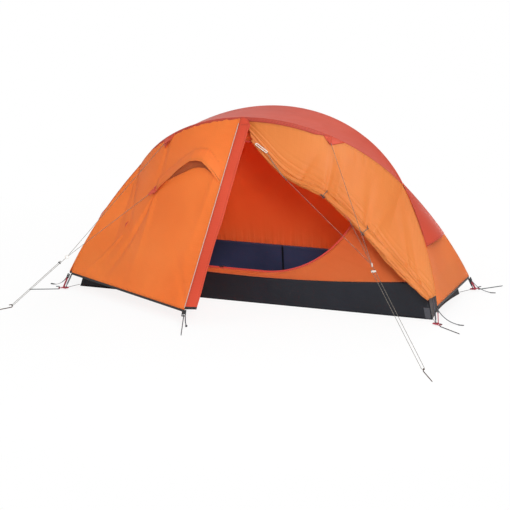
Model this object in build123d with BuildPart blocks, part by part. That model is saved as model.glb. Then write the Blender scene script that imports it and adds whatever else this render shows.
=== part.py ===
from build123d import *
import os
from math import acos, cos, degrees, hypot, radians, sin

# A one-person trekking tent: two leaning arch poles that cross twice, a taut fly with a porch whose
# right half is rolled back, an inner tent on a dark tub floor, corner straps, pegs and guy lines.
# Millimetres. X runs along the tent, Y from the porch to the back, Z up from the floor's middle.

# Pole frame
foot_half_length = 1150.0
foot_half_width = 414.0
crown_reach = 216.0
crown_height = 1065.0
crown_half_angle = 57.0
foot_angle = 77.7
pole_d = 8.5
pole_wall = 0.9
crossing_gap = 1.5
crown_sections = 4
side_sections = 2
section_gap = 0.4
ferrule_length = 110.0
ferrule_wall = 0.8
ferrule_clearance = 0.1
shock_cord_d = 2.6
tip_length = 46.0
tip_collar = 9.0
tip_plug = 24.0
tip_clearance = 0.25
tip_pin_d = 5.5

# Cloth of the fly, with the sleeves that carry the crowns
cloth_t = 2.0
sleeve_clearance = 0.6
sleeve_t = 1.2
sleeve_half_angle = 33.0
fly_gap = 0.8
seam_lap = 8.0
seam_gap = 0.8
hem_height = 100.0
corner_trim = 1.5
hood_hem_height = 390.0
hood_lap = 60.0
hood_lift = 1.0
hem_binding_w = 12.0
hem_binding_t = 4.0
hem_gap = 0.9
porch_corner = Vector(-180.0, -880.0, 85.0)
vent_stand_off = 40.0
vent_seat = 1.2

# Porch door: zip on the left half, right half rolled up
zip_angle = -5.0
zip_tape_w = 14.0
zip_tape_t = 1.2
zip_coil_d = 4.0
zip_start = 40.0
zip_end_gap = 12.0
flap_w = 72.0
flap_tilt = 14.0
flap_lift = 2.6
piping_d = 3.2
slider_length = 26.0
slider_rest = 62.0
slider_clearance = 0.4
slider_side = 1.6
slider_face = 0.9
slider_floor = 1.4
slider_corner_r = 1.2
ear_t = 1.6
ear_length = 6.0
ear_rim = 1.8
ear_reach = 3.2
pull_length = 42.0
pull_pin_d = 2.0
pull_eye_r = 2.6
pull_bar_w = 3.0
pull_end_r = 3.2
pull_side_gap = 0.5
pin_clearance = 0.08
roll_start_angle = -3.5
roll_flatness = 0.8
roll_gap = 6.0
tie_cord_d = 3.0
tie_sink = 2.4
tie_seat = 2.1
tie_clearance = 0.4
toggle_length = 34.0
toggle_d = 8.0

# Inner tent and tub floor
inner_drop = 40.0
inner_share = 0.92
inner_lap = 2.0
inner_foot_share = 0.985
tub_half_length = 1095.0
tub_half_width = 305.0
tub_rim_height = 212.0
tub_rim_sag = 60.0
tub_end_bow = 26.0
tub_end_lean = 52.0
tub_side_lean = 25.0
door_zip_w = 9.0
door_left = -310.0
door_right = 575.0
door_sill = 36.0
door_top = 925.0
door_apex_x = -80.0
door_bend_x = 60.0
door_side_rise = 300.0
door_lower_bulge = (390.0, 95.0)
door_upper_bulge = (340.0, 595.0)
inner_roll_r = 22.0
hanger_w = 8.0
hanger_t = 2.0
crown_hanger_gap = 1.3
leg_hanger_gap = 2.5

# Feet, straps and pegs
foot_tab_z = 10.5
foot_disc_r = 20.0
strap_w = 18.0
strap_t = 2.0
strap_stand_off = 14.0
strap_gap = 0.5
eyelet_d = 9.0
buckle_length = 26.0
buckle_w = 26.0
buckle_t = 4.0
buckle_bar = 4.0
buckle_drop = 17.0
buckle_slots = (7.8, 18.2)
peg_d = 5.0
peg_length = 165.0
peg_bend_r = 8.0
peg_return = 14.0
peg_point = 10.0
peg_point_d = 1.7
peg_hole_r = 8.0
peg_reach = 40.5
peg_tab_w = 24.0
peg_rim = 5.0
peg_gap = 0.4
tail_w = 10.0
tail_t = 1.6
tail_length = 140.0
tail_gap = 0.3
tail_bend_reach = 0.42
tail_bend_height = 0.28
porch_tab_length = 60.0
porch_tab_start = 2.4
porch_peg_bearing = -72.6
porch_peg_pitch = 19.2

# Guy lines
guy_d = 2.5
guy_spread = 18.0
guy_ring_r = 10.0
guy_ring_d = 3.6
guy_gap = 0.4
guy_end_z = 15.5
guy_tab_length = 42.0
guy_tab_w = 44.0
guy_tab_tip = 12.0
guy_tab_seat = 3.0
guy_left_upper = (-35.0, 0.02)
guy_left_lower = (-36.5, 0.35)
guy_right_share = 0.03
runner_rest = 52.0
runner_l = 5.0
runner_h = 10.0
knot_r = 3.2

# Worked-out geometry of one arch, in its own leaning plane
rise = hypot(foot_half_width + crown_reach, crown_height)
lean_y = (foot_half_width + crown_reach) / rise
lean_z = crown_height / rise
turn_crown = radians(crown_half_angle)
turn_foot = radians(foot_angle)
a11 = sin(turn_crown)
a12 = sin(turn_foot) - sin(turn_crown)
a21 = 1 - cos(turn_crown)
a22 = cos(turn_crown) - cos(turn_foot)
crown_radius = (foot_half_length * a22 - a12 * rise) / (a11 * a22 - a12 * a21)
side_radius = (a11 * rise - a21 * foot_half_length) / (a11 * a22 - a12 * a21)
crown_centre_v = rise - crown_radius
side_centre_u = (crown_radius - side_radius) * sin(turn_crown)
side_centre_v = crown_centre_v + (crown_radius - side_radius) * cos(turn_crown)
pole_r = pole_d / 2
arch_step = (pole_d + crossing_gap) / 2
sleeve_r = pole_r + sleeve_clearance + sleeve_t
fly_offset = arch_step + (sleeve_r + fly_gap) / lean_z
fly_mid = fly_offset + cloth_t / 2
front_arch_plane = Plane((0, foot_half_width, 0), x_dir=(1, 0, 0), z_dir=(0, -lean_z, -lean_y))
rear_arch_plane = Plane((0, -foot_half_width, 0), x_dir=(1, 0, 0), z_dir=(0, -lean_z, lean_y))
forward = Vector(0, -1, 0)
upward = Vector(0, 0, 1)


def arch_point_uv(angle, offset):
    """Point of an arch in its plane, at a turn in degrees from the crown, offset outwards."""
    turn = radians(abs(angle))
    side = -1 if angle < 0 else 1
    if abs(angle) <= crown_half_angle:
        radius = crown_radius + offset
        return side * radius * sin(turn), crown_centre_v + radius * cos(turn)
    radius = side_radius + offset
    return side * (side_centre_u + radius * sin(turn)), side_centre_v + radius * cos(turn)


def edge_point(angle, offset, lap, side, share=1.0):
    """Point beside the arch that stands outermost on the front (side -1) or the back (side 1)."""
    u, v = arch_point_uv(angle, offset)
    return Vector(u, side * (share * abs(foot_half_width - lean_y * v) + lap), lean_z * v)


def side_angle_at(height, offset):
    """Turn at which the side arc, offset outwards, passes a height above the floor."""
    return degrees(acos((height / lean_z - side_centre_v) / (side_radius + offset)))


cross_angle = degrees(acos((foot_half_width / lean_y - crown_centre_v) / crown_radius))
hem_angle = side_angle_at(hem_height, fly_mid)
hood_angle = side_angle_at(hood_hem_height, fly_mid)
end_top_angle = side_angle_at(hood_hem_height + hood_lap, fly_mid)


def arc_turn(length, turn):
    """Turn that a length along an arch takes up, near a given turn."""
    return degrees(length / (crown_radius if abs(turn) < crown_half_angle else side_radius))


def finish(builder, name):
    """Label a finished piece and write it."""
    builder.part.label = name
    export_step(builder.part, f"parts/{name}.step")


def arch_arcs(offset, start, end):
    """Arcs of an arch between two turns, from left to right, drawn in the open line."""
    cuts = [start] + [cut for cut in (-crown_half_angle, crown_half_angle) if start < cut < end] + [end]
    for first, last in zip(cuts, cuts[1:]):
        middle = (first + last) / 2
        if abs(middle) < crown_half_angle:
            CenterArc((0, crown_centre_v), crown_radius + offset, 90 - first, first - last)
        else:
            side = -1 if middle < 0 else 1
            centre = (side * side_centre_u, side_centre_v)
            CenterArc(centre, side_radius + offset, 90 - first, first - last)


def arch_tubes(plane, offset, spans, outer_r, bore_r):
    """Tubes bent along stretches of an arch, one for each pair of turns."""
    with BuildPart() as tubes:
        for start, end in spans:
            with BuildLine(plane) as path:
                arch_arcs(offset, start, end)
            bend = path.wire()
            with BuildSketch(Plane(bend @ 0, z_dir=bend % 0)):
                Circle(outer_r)
                if bore_r:
                    Circle(bore_r, mode=Mode.SUBTRACT)
            sweep(path=bend)
    return tubes


def side_plane(share, lap, side, leg):
    """Plane through one side of the cloth between the arches, at the crown or beside a leg."""
    lean = side if leg else -side
    origin = (0, lean * share * foot_half_width + side * lap, 0)
    slope = Vector(0, -lean * share * (foot_half_width + crown_reach), crown_height).normalized()
    return Plane(origin, x_dir=(1, 0, 0), z_dir=Vector(1, 0, 0).cross(slope))


def arch_band(offset, start, end, share, lap):
    """Cloth that spans the arches: a strip along them, carried along Y and trimmed at both sides."""
    leg = abs(start + end) > crown_half_angle
    with BuildPart() as band:
        with BuildSketch(front_arch_plane):
            with BuildLine():
                arch_arcs(offset, start, end)
                arch_arcs(offset + cloth_t, start, end)
                for turn in (start, end):
                    Line(arch_point_uv(turn, offset), arch_point_uv(turn, offset + cloth_t))
            make_face()
        extrude(amount=2 * (foot_half_width + crown_reach), dir=(0, 1, 0), both=True)
        split(bisect_by=side_plane(share, lap, -1, leg), keep=Keep.BOTTOM)
        split(bisect_by=side_plane(share, lap, 1, leg), keep=Keep.TOP)
    return band


def strip_plane(upper, lower):
    """Plane across a cloth strip between two points, its X up the strip and its Y outwards."""
    across = upper - lower
    outwards = forward if (upper + lower).Y < 0 else -forward
    return Plane((upper + lower) / 2, x_dir=across, z_dir=across.cross(outwards))


def between(strip, share):
    """Point a share of the way down a cloth strip."""
    upper, lower = strip
    return upper + (lower - upper) * share


def cloth_normal(before, after, share):
    """Outward direction of a front cloth between two neighbouring strips."""
    run = between(after, share) - between(before, share)
    normal = run.cross(before[0] - before[1]).normalized()
    return normal if normal.dot(forward) > 0 else -normal


def cloth(spans, thickness):
    """Taut cloth lofted through straight strips; each span is a smooth run of strips."""
    with BuildPart() as panel:
        for span in spans:
            for upper, lower in span:
                with BuildSketch(strip_plane(upper, lower)):
                    Rectangle((upper - lower).length, thickness)
            loft()
    return panel


def rod(start, end, radius):
    """Straight round rod between two points, added to the open part."""
    with BuildSketch(Plane(start, z_dir=end - start)) as section:
        Circle(radius)
    extrude(section.sketch, amount=(end - start).length)


def flat_bar(start, end, width_dir, width, thickness):
    """Straight flat bar between two points, added to the open part."""
    with BuildSketch(Plane(start, x_dir=width_dir, z_dir=end - start)) as section:
        Rectangle(width, thickness)
    extrude(section.sketch, amount=(end - start).length)


def bearing(angle):
    """Level direction at an angle in degrees from +X."""
    return Vector(cos(radians(angle)), sin(radians(angle)), 0)


os.makedirs("parts", exist_ok=True)

# Poles: tube sections, ferrules inside their joints, a shock cord and four tips
tube_end_angle = foot_angle - arc_turn(tip_length, foot_angle)
crown_turns = [crown_half_angle * (2 * k / crown_sections - 1) for k in range(crown_sections + 1)]
side_step = (tube_end_angle - crown_half_angle) / side_sections
side_turns = [crown_half_angle + side_step * (k + 1) for k in range(side_sections)]
section_turns = [-turn for turn in reversed(side_turns)] + crown_turns + side_turns
sections = list(zip(section_turns, section_turns[1:]))
middles = [(a + b) / 2 for a, b in sections]
half_gaps = [arc_turn(section_gap / 2, middle) for middle in middles]
tube_spans = [(a + gap, b - gap) for (a, b), gap in zip(sections, half_gaps)]
bore_r = pole_r - pole_wall
ferrule_r = bore_r - ferrule_clearance
half_ferrules = [arc_turn(ferrule_length / 2, middle) for middle in middles]
ferrule_spans = [
    (turn - before, turn + after)
    for turn, before, after in zip(section_turns[1:-1], half_ferrules, half_ferrules[1:])
]
cord_end = tube_end_angle - arc_turn(tip_plug + section_gap, foot_angle)

arches = {"front": (front_arch_plane, arch_step), "rear": (rear_arch_plane, -arch_step)}
for arch_name, (arch_plane, arch_offset) in arches.items():
    finish(arch_tubes(arch_plane, arch_offset, tube_spans, pole_r, bore_r), f"{arch_name}_pole_tubes")
    ferrules = arch_tubes(arch_plane, arch_offset, ferrule_spans, ferrule_r, ferrule_r - ferrule_wall)
    finish(ferrules, f"{arch_name}_pole_ferrules")
    cord = arch_tubes(arch_plane, arch_offset, [(-cord_end, cord_end)], shock_cord_d / 2, 0)
    finish(cord, f"{arch_name}_pole_shock_cord")
    sleeve_span = [(-sleeve_half_angle, sleeve_half_angle)]
    sleeve = arch_tubes(arch_plane, arch_offset, sleeve_span, sleeve_r, sleeve_r - sleeve_t)
    finish(sleeve, f"{arch_name}_pole_sleeve")


def leg_end(side_x, side_y):
    """End of the tube at one corner, and the direction in which its leg comes down."""
    offset = -arch_step if side_y < 0 else arch_step
    u, v = arch_point_uv(side_x * tube_end_angle, offset)
    turn = radians(tube_end_angle)
    outward_y = side_y * (foot_half_width - lean_y * v)
    down = Vector(side_x * cos(turn), side_y * lean_y * sin(turn), -lean_z * sin(turn))
    return Vector(u, outward_y, lean_z * v), down


corners = {"front_left": (-1, -1), "front_right": (1, -1), "back_right": (1, 1), "back_left": (-1, 1)}
peg_bearings = {"front_left": 203.0, "front_right": -38.0, "back_right": 49.0, "back_left": 140.0}
tail_bearings = {"front_left": 162.0, "front_right": 4.0, "back_right": 10.0, "back_left": 180.0}

with BuildPart() as pole_tips:
    for side_x, side_y in corners.values():
        tube_end, down = leg_end(side_x, side_y)
        seat = tube_end + down * section_gap
        rod(seat - down * (tip_plug + section_gap), seat, bore_r - tip_clearance)
        rod(seat, seat + down * tip_collar, pole_r)
        rod(seat + down * tip_collar, seat + down * (tip_length - tip_pin_d), tip_pin_d / 2)
finish(pole_tips, "pole_tips")

# Fly: roof between the crowns, hoods and ends between the legs
finish(arch_band(fly_offset, -cross_angle, cross_angle, 1.0, seam_lap), "fly_roof")

hood_offset = fly_offset + cloth_t + hood_lift
hood_seam = arc_turn(seam_gap, 0)


def end_band(offset, start, end, side, share, lap):
    """Cloth between the two legs at one end, on the left (side -1) or the right (side 1)."""
    first, last = sorted((side * start, side * end))
    return arch_band(offset, first, last, share, lap)


for side_name, side in {"left": -1, "right": 1}.items():
    hood = end_band(hood_offset, cross_angle + hood_seam, hood_angle, side, 1.0, seam_lap)
    finish(hood, f"fly_end_hood_{side_name}")
    fly_end = end_band(fly_offset, end_top_angle, hem_angle, side, 1.0, seam_lap)
    finish(fly_end, f"fly_end_{side_name}")

# Fly: porch panels and back, from the arches down to the hem or to the rolled door
panel_lap = seam_lap + seam_gap + cloth_t / 2


def leg_turns(last, count):
    """Even turns from the crossing down a leg to just short of a hem's corner."""
    step = (last - corner_trim - cross_angle) / count
    return [cross_angle + step * k for k in range(count + 1)]


def porch_strip(angle):
    """Strip of the left porch panel, from the front edge down to the porch hem."""
    hem_corner = edge_point(-hem_angle, fly_mid, panel_lap, -1)
    share = (zip_angle - angle) / (zip_angle + hem_angle)
    return edge_point(angle, fly_mid, panel_lap, -1), porch_corner + (hem_corner - porch_corner) * share


porch_upper = [zip_angle, -15, -26, -36, -46, -cross_angle]
porch_lower = [-turn for turn in leg_turns(hem_angle, 4)]
porch_left = cloth([[porch_strip(t) for t in porch_upper], [porch_strip(t) for t in porch_lower]], cloth_t)
finish(porch_left, "fly_porch_left")

# The rolled door: its middle line's drop from the front edge, turn by turn, and its thickness there
crossing = 8
roll_turns = [roll_start_angle, 4.0, 11.0, 18.0, 26.0, 33.0, 40.0, 47.5] + leg_turns(hem_angle, 3)
roll_drops = [
    (Vector(45.5, -8.0, -127.4), 9.0),
    (Vector(0.9, -17.3, -214.9), 12.0),
    (Vector(-31.1, -34.4, -277.3), 15.0),
    (Vector(-44.2, -60.8, -304.3), 18.0),
    (Vector(-84.4, -97.1, -285.7), 21.0),
    (Vector(-93.6, -138.5, -270.4), 24.0),
    (Vector(-67.9, -185.1, -295.5), 28.0),
    (Vector(-36.5, -245.7, -321.4), 30.0),
    (Vector(-17.0, -315.2, -323.7), 29.0),
    (Vector(-16.6, -245.9, -265.9), 26.0),
    (Vector(-30.3, -146.1, -148.8), 21.0),
    (Vector(-28.9, -40.2, -15.1), 13.0),
]
roll_line = [
    (edge_point(turn, fly_mid, panel_lap, -1) + drop, radius)
    for turn, (drop, radius) in zip(roll_turns, roll_drops)
]


def roll_direction(k):
    """Direction of the rolled door's middle line at one of its points."""
    before = roll_line[max(k - 1, 0)][0]
    after = roll_line[min(k + 1, len(roll_line) - 1)][0]
    return (after - before).normalized()


with BuildPart() as door_roll:
    for k, (middle, radius) in enumerate(roll_line):
        with BuildSketch(Plane(middle, x_dir=upward.cross(roll_direction(k)), z_dir=roll_direction(k))):
            Ellipse(radius, roll_flatness * radius)
    loft()
finish(door_roll, "fly_door_roll")


def roll_strip(angle, k):
    """Strip of the right porch panel, from the front edge to just clear of the rolled door."""
    upper = edge_point(angle, fly_mid, panel_lap, -1)
    middle, radius = roll_line[k]
    climb = (upper - middle).normalized()
    return upper, middle + climb * ((radius + roll_gap) / climb.cross(roll_direction(k)).length)


unused_station = 2
right_strips = {k: roll_strip(turn, k) for k, turn in enumerate(roll_turns) if k != unused_station}
right_upper = [strip for k, strip in right_strips.items() if k <= crossing]
right_lower = [strip for k, strip in right_strips.items() if k >= crossing]
porch_right = cloth([right_upper, right_lower], cloth_t)
finish(porch_right, "fly_porch_right")


def back_strip(angle):
    """Strip of the back panel, from the back edge down to a straight hem."""
    corner = edge_point(hem_angle, fly_mid, panel_lap, 1)
    return edge_point(angle, fly_mid, panel_lap, 1), Vector(corner.X * angle / hem_angle, corner.Y, corner.Z)


back_lower = leg_turns(hem_angle, 4)
back_upper = [-cross_angle, -44, -30, -15, 0, 15, 30, 44, cross_angle]
back_spans = [
    [back_strip(-t) for t in reversed(back_lower)],
    [back_strip(t) for t in back_upper],
    [back_strip(t) for t in back_lower],
]
fly_back = cloth(back_spans, cloth_t)
finish(fly_back, "fly_back")

# Hem binding: straight dark bindings just under the hems
with BuildPart() as hem_binding:
    drop = upward * (hem_binding_w / 2 + hem_gap)
    hem_runs = [
        (porch_strip(zip_angle)[1], porch_strip(-hem_angle + corner_trim)[1]),
        (back_strip(-hem_angle + corner_trim)[1], back_strip(hem_angle - corner_trim)[1]),
    ]
    for side in (-1, 1):
        front_end = edge_point(side * hem_angle, fly_mid, 0, -1)
        hem_runs.append((front_end, Vector(front_end.X, -front_end.Y, front_end.Z)))
    for start, end in hem_runs:
        flat_bar(start - drop, end - drop, (end - start).cross(upward), hem_binding_t, hem_binding_w)
finish(hem_binding, "fly_hem_binding")

# Porch zip: frame along the zip, X to the right, Y outwards, Z down the zip
zip_top, zip_bottom = porch_strip(zip_angle)
zip_down = (zip_bottom - zip_top).normalized()
zip_right = forward.cross(zip_down).normalized()
zip_length = (zip_bottom - zip_top).length
zip_plane = Plane(zip_top, x_dir=zip_right, z_dir=zip_down)
zip_out = zip_plane.y_dir
zip_run = zip_length - zip_start - zip_end_gap
coil_x = seam_gap + zip_tape_w + zip_coil_d / 2

with BuildPart() as zip_tape:
    with BuildSketch(zip_plane.offset(zip_start)):
        with Locations((seam_gap + zip_tape_w / 2, 0)):
            Rectangle(zip_tape_w, zip_tape_t)
        with Locations((coil_x - zip_tape_t / 2, 0)):
            Circle(zip_coil_d / 2)
    extrude(amount=zip_run)
finish(zip_tape, "fly_zip_tape")

piping_x = -piping_d / 2
with BuildPart() as piping:
    with BuildSketch(zip_plane.offset(zip_start)):
        with Locations((piping_x, flap_lift)):
            Circle(piping_d / 2)
    extrude(amount=zip_run)
finish(piping, "fly_door_piping")

flap_hinge = zip_top + zip_right * piping_x + zip_out * flap_lift
flap_gap = piping_d / 2 + seam_gap
with BuildPart() as storm_flap:
    with BuildSketch(zip_plane.offset(zip_start)):
        with Locations(Location((piping_x, flap_lift, 0), (0, 0, flap_tilt))):
            with Locations((flap_gap + flap_w / 2, 0)):
                Rectangle(flap_w, cloth_t)
    extrude(amount=zip_run)
finish(storm_flap, "fly_storm_flap")

# Zip slider: a split shell round the coil, with two ears and a pin on the inside for the pull
slider_x = coil_x - zip_tape_t / 2
slider_bore_r = zip_coil_d / 2 + slider_clearance
slider_half_w = slider_bore_r + slider_side
slider_front = slider_bore_r + slider_face
slider_back = -(slider_bore_r + slider_floor)
pin_y = slider_back - ear_reach
pull_w = 2 * (slider_half_w - ear_t - pull_side_gap)


def zip_slider(plane, along, tape_t):
    """Slider on a zip, at a distance along it, in the zip's own frame."""
    with BuildPart() as slider:
        with BuildSketch(plane.offset(along)):
            with Locations((slider_x, (slider_front + slider_back) / 2)):
                RectangleRounded(2 * slider_half_w, slider_front - slider_back, slider_corner_r)
            with Locations((slider_x, 0)):
                Circle(slider_bore_r, mode=Mode.SUBTRACT)
            with Locations((slider_x - slider_half_w, 0)):
                Rectangle(2 * slider_half_w, tape_t + 2 * slider_clearance, mode=Mode.SUBTRACT)
        extrude(amount=slider_length)
        ear_middle = along + slider_length / 2
        for side in (-1, 1):
            ear_x = slider_x + side * (slider_half_w - ear_t / 2)
            with BuildSketch(plane.offset(ear_middle - ear_length / 2)):
                with Locations((ear_x, (slider_back + pin_y - ear_rim) / 2)):
                    Rectangle(ear_t, slider_back - pin_y + ear_rim)
            extrude(amount=ear_length)
        pin_centre = plane.from_local_coords((slider_x, pin_y, ear_middle))
        rod(
            pin_centre - plane.x_dir * (slider_half_w - ear_t / 2),
            pin_centre + plane.x_dir * (slider_half_w - ear_t / 2),
            pull_pin_d / 2,
        )
    return slider, pin_centre


def zip_pull(plane, pin_centre):
    """Pull tab that hangs straight down from the slider's pin."""
    hang = (-upward - plane.x_dir * (-upward).dot(plane.x_dir)).normalized()
    with BuildPart() as pull:
        with BuildSketch(Plane(pin_centre - plane.x_dir * (pull_w / 2), x_dir=hang, z_dir=plane.x_dir)):
            Circle(pull_eye_r)
            with Locations((pull_length / 2, 0)):
                Rectangle(pull_length, pull_bar_w)
            with Locations((pull_length, 0)):
                Circle(pull_end_r)
            Circle(pull_pin_d / 2 + pin_clearance, mode=Mode.SUBTRACT)
        extrude(amount=pull_w)
    return pull


fly_slider, fly_pin = zip_slider(zip_plane, slider_rest, zip_tape_t)
finish(fly_slider, "fly_zip_slider")
finish(zip_pull(zip_plane, fly_pin), "fly_zip_pull")

# Ties that hold the rolled door: a cord loop round the roll and a toggle bar on it
tie_points = {"upper": 5, "lower": 7}
with BuildPart() as tie_loops:
    for k in tie_points.values():
        middle, radius = roll_line[k]
        across = upward.cross(roll_direction(k))
        inside = radius + tie_clearance
        flat_inside = roll_flatness * radius + tie_clearance
        with BuildSketch(Plane(middle, x_dir=across, z_dir=roll_direction(k))):
            Ellipse(inside + tie_cord_d, flat_inside + tie_cord_d)
            Ellipse(inside, flat_inside, mode=Mode.SUBTRACT)
        extrude(amount=tie_cord_d / 2, both=True)
        panel_edge = right_strips[k][1]
        lift = roll_direction(k).cross(across).normalized()
        loop_top = middle + lift * (flat_inside + tie_sink)
        hang = (panel_edge - loop_top).normalized()
        flat_bar(loop_top, panel_edge - hang * tie_seat, across, tie_cord_d, tie_cord_d)
finish(tie_loops, "door_tie_loops")

for place, k in tie_points.items():
    middle, radius = roll_line[k]
    along = roll_direction(k)
    sideways = upward.cross(along).normalized()
    out = sideways if sideways.Y < 0 else -sideways
    pivot = middle + out * (radius + tie_clearance + tie_cord_d + tie_clearance + toggle_d / 2)
    with BuildPart() as toggle:
        rod(pivot - along * (toggle_length / 2), pivot + along * (toggle_length / 2), toggle_d / 2)
        fillet(toggle.edges().filter_by(GeomType.CIRCLE), toggle_d / 5)
    finish(toggle, f"door_toggle_{place}")

# Inner tent: tub floor with leaning walls and a sagging rim
rim_half_length = tub_half_length - tub_end_lean
rim_half_width = tub_half_width - tub_side_lean


def tub_outline(half_length, half_width, bow):
    """Face of the tub's outline: straight long sides, ends that bow inwards between the corners."""
    with BuildLine() as outline:
        Polyline((half_length, half_width), (-half_length, half_width))
        ThreePointArc((-half_length, half_width), (bow - half_length, 0), (-half_length, -half_width))
        Polyline((-half_length, -half_width), (half_length, -half_width))
        ThreePointArc((half_length, -half_width), (half_length - bow, 0), (half_length, half_width))
    make_face(outline.edges())


with BuildPart() as tub:
    with BuildSketch():
        tub_outline(tub_half_length, tub_half_width, tub_end_bow)
    with BuildSketch(Plane.XY.offset(tub_rim_height)):
        tub_outline(rim_half_length, rim_half_width, tub_end_bow)
    loft(ruled=True)
    with BuildSketch(Plane.XY.offset(cloth_t)):
        tub_outline(tub_half_length - cloth_t, tub_half_width - cloth_t, tub_end_bow)
    with BuildSketch(Plane.XY.offset(tub_rim_height)):
        tub_outline(rim_half_length - cloth_t, rim_half_width - cloth_t, tub_end_bow)
    loft(ruled=True, mode=Mode.SUBTRACT)
    with BuildSketch(Plane.XZ):
        with BuildLine():
            ThreePointArc(
                (-rim_half_length, tub_rim_height),
                (0, tub_rim_height - tub_rim_sag),
                (rim_half_length, tub_rim_height),
            )
            Line((rim_half_length, tub_rim_height), (-rim_half_length, tub_rim_height))
        make_face()
    extrude(amount=2 * tub_half_width, both=True, mode=Mode.SUBTRACT)
finish(tub, "groundsheet_tub")

# Inner tent: roof, ends, back and the front with its D-shaped door
inner_offset = -inner_drop
inner_mid = inner_offset + cloth_t / 2
rim_arc_r = (rim_half_length**2 + tub_rim_sag**2) / (2 * tub_rim_sag)
inner_cross = degrees(acos((foot_half_width / lean_y - crown_centre_v) / (crown_radius + inner_mid)))
finish(arch_band(inner_offset, -inner_cross, inner_cross, inner_share, inner_lap), "inner_roof")
inner_hem_angle = side_angle_at(tub_rim_height + cloth_t, inner_mid)
for side_name, side in {"left": -1, "right": 1}.items():
    inner_end = end_band(inner_offset, inner_cross + hood_seam, inner_hem_angle, side, inner_share, inner_lap)
    finish(inner_end, f"inner_end_{side_name}")


def rim_height_at(x):
    """Height of the tub's sagging rim at a distance along the tent."""
    return tub_rim_height - tub_rim_sag + rim_arc_r - (rim_arc_r**2 - x**2) ** 0.5


inner_edge_lap = inner_lap + seam_gap + cloth_t / 2


def inner_strip(angle, side):
    """Strip of the inner tent's front or back, from the arch's edge down to the tub's rim."""
    upper = edge_point(angle, inner_mid, inner_edge_lap, side, inner_share)
    x = inner_foot_share * rim_half_length * angle / inner_hem_angle
    lean = tub_side_lean * rim_height_at(x) / tub_rim_height
    return upper, Vector(x, side * (tub_half_width - lean - cloth_t / 2), rim_height_at(x) + seam_gap)


inner_low = [inner_cross, 61, 67, inner_hem_angle - corner_trim]
inner_high = [-inner_cross, -44, -30, -15, 0, 15, 30, 44, inner_cross]


def inner_wall(side):
    """Front (side -1) or back (side 1) wall of the inner tent, without its door."""
    return cloth(
        [
            [inner_strip(-t, side) for t in reversed(inner_low)],
            [inner_strip(t, side) for t in inner_high],
            [inner_strip(t, side) for t in inner_low],
        ],
        cloth_t,
    )


finish(inner_wall(1), "inner_back")

sill_z = rim_height_at(door_left) + door_sill
door_corner_z = sill_z + door_side_rise


def door_outline(grow, mode=Mode.ADD):
    """D-shaped door: level sill, a rounded right side and a straight slanting left side."""
    slant = grow * sin(radians(45))
    lower_x, lower_z = door_lower_bulge
    upper_x, upper_z = door_upper_bulge
    with BuildLine() as outline:
        Line((door_left - grow, sill_z - grow), (door_bend_x, sill_z - grow))
        ThreePointArc(
            (door_bend_x, sill_z - grow),
            (lower_x + slant, sill_z + lower_z - slant),
            (door_right + grow, door_corner_z),
        )
        ThreePointArc(
            (door_right + grow, door_corner_z),
            (upper_x + slant, sill_z + upper_z + slant),
            (door_apex_x, door_top + grow),
        )
        Line((door_apex_x, door_top + grow), (door_left - grow, sill_z - grow))
    make_face(outline.edges(), mode=mode)


front_wall = inner_wall(-1)
with BuildPart() as inner_front:
    add(front_wall.part)
    with BuildSketch(Plane.XZ):
        door_outline(door_zip_w + seam_gap)
    extrude(amount=foot_half_width + crown_reach, mode=Mode.SUBTRACT)
finish(inner_front, "inner_front")

door_tape = cloth([[inner_strip(turn, -1) for turn in inner_high]], cloth_t)
with BuildPart() as door_zip:
    add(door_tape.part)
    with BuildSketch(Plane.XZ):
        door_outline(door_zip_w)
        door_outline(0, Mode.SUBTRACT)
    extrude(amount=foot_half_width + crown_reach, mode=Mode.INTERSECT)
finish(door_zip, "inner_door_zip")

# Inner door: slider and pull on the straight sill, and the door's own cloth rolled beside the opening
sill_turn = -14.0
sill_upper, sill_lower = inner_strip(sill_turn, -1)
sill_up = (sill_upper - sill_lower).normalized()
sill_point = sill_lower + sill_up * ((sill_z - sill_lower.Z) / sill_up.Z)
sill_plane = Plane(sill_point - sill_up * (slider_x + slider_clearance), x_dir=sill_up, z_dir=(1, 0, 0))
inner_slider, inner_pin = zip_slider(sill_plane, 0, cloth_t)
finish(inner_slider, "inner_zip_slider")
finish(zip_pull(sill_plane, inner_pin), "inner_zip_pull")

inner_roll_line = [(-352.0, 240.0, 0.7), (-288.0, 450.0, 1.0), (-222.0, 660.0, 1.0), (-150.0, 880.0, 0.6)]
with BuildPart() as inner_roll:
    wall_top, wall_foot = inner_strip(inner_hem_angle * door_left / rim_half_length, -1)
    wall_slope = (wall_top.Y - wall_foot.Y) / (wall_top.Z - wall_foot.Z)
    for x, z, share in inner_roll_line:
        y = wall_foot.Y + wall_slope * (z - wall_foot.Z) + cloth_t + inner_roll_r
        with BuildSketch(Plane((x, y, z))):
            Ellipse(share * inner_roll_r, roll_flatness * share * inner_roll_r)
    loft()
finish(inner_roll, "inner_door_roll")

# Hangers: short straps that hold the inner tent under the sleeves and the legs
crown_hanger_turns = [6.0, 20.0, 31.0]
leg_hanger_turn = 66.0
with BuildPart() as hangers:
    for side in (-1, 1):
        for turn in crown_hanger_turns + [leg_hanger_turn]:
            leg = turn > crown_half_angle
            pole_offset = arch_step if (side < 0) != leg else -arch_step
            gap = leg_hanger_gap if leg else crown_hanger_gap
            reach = gap + (pole_r if leg else sleeve_r)
            for angle in (-turn, turn):
                top = edge_point(angle, pole_offset - reach, 0, side)
                foot = edge_point(angle, inner_offset + cloth_t + gap, -hanger_t, side, inner_share)
                tangent = edge_point(angle + 1, 0, 0, side) - edge_point(angle - 1, 0, 0, side)
                flat_bar(foot, top, tangent, hanger_w, hanger_t)
finish(hangers, "inner_hangers")

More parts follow.
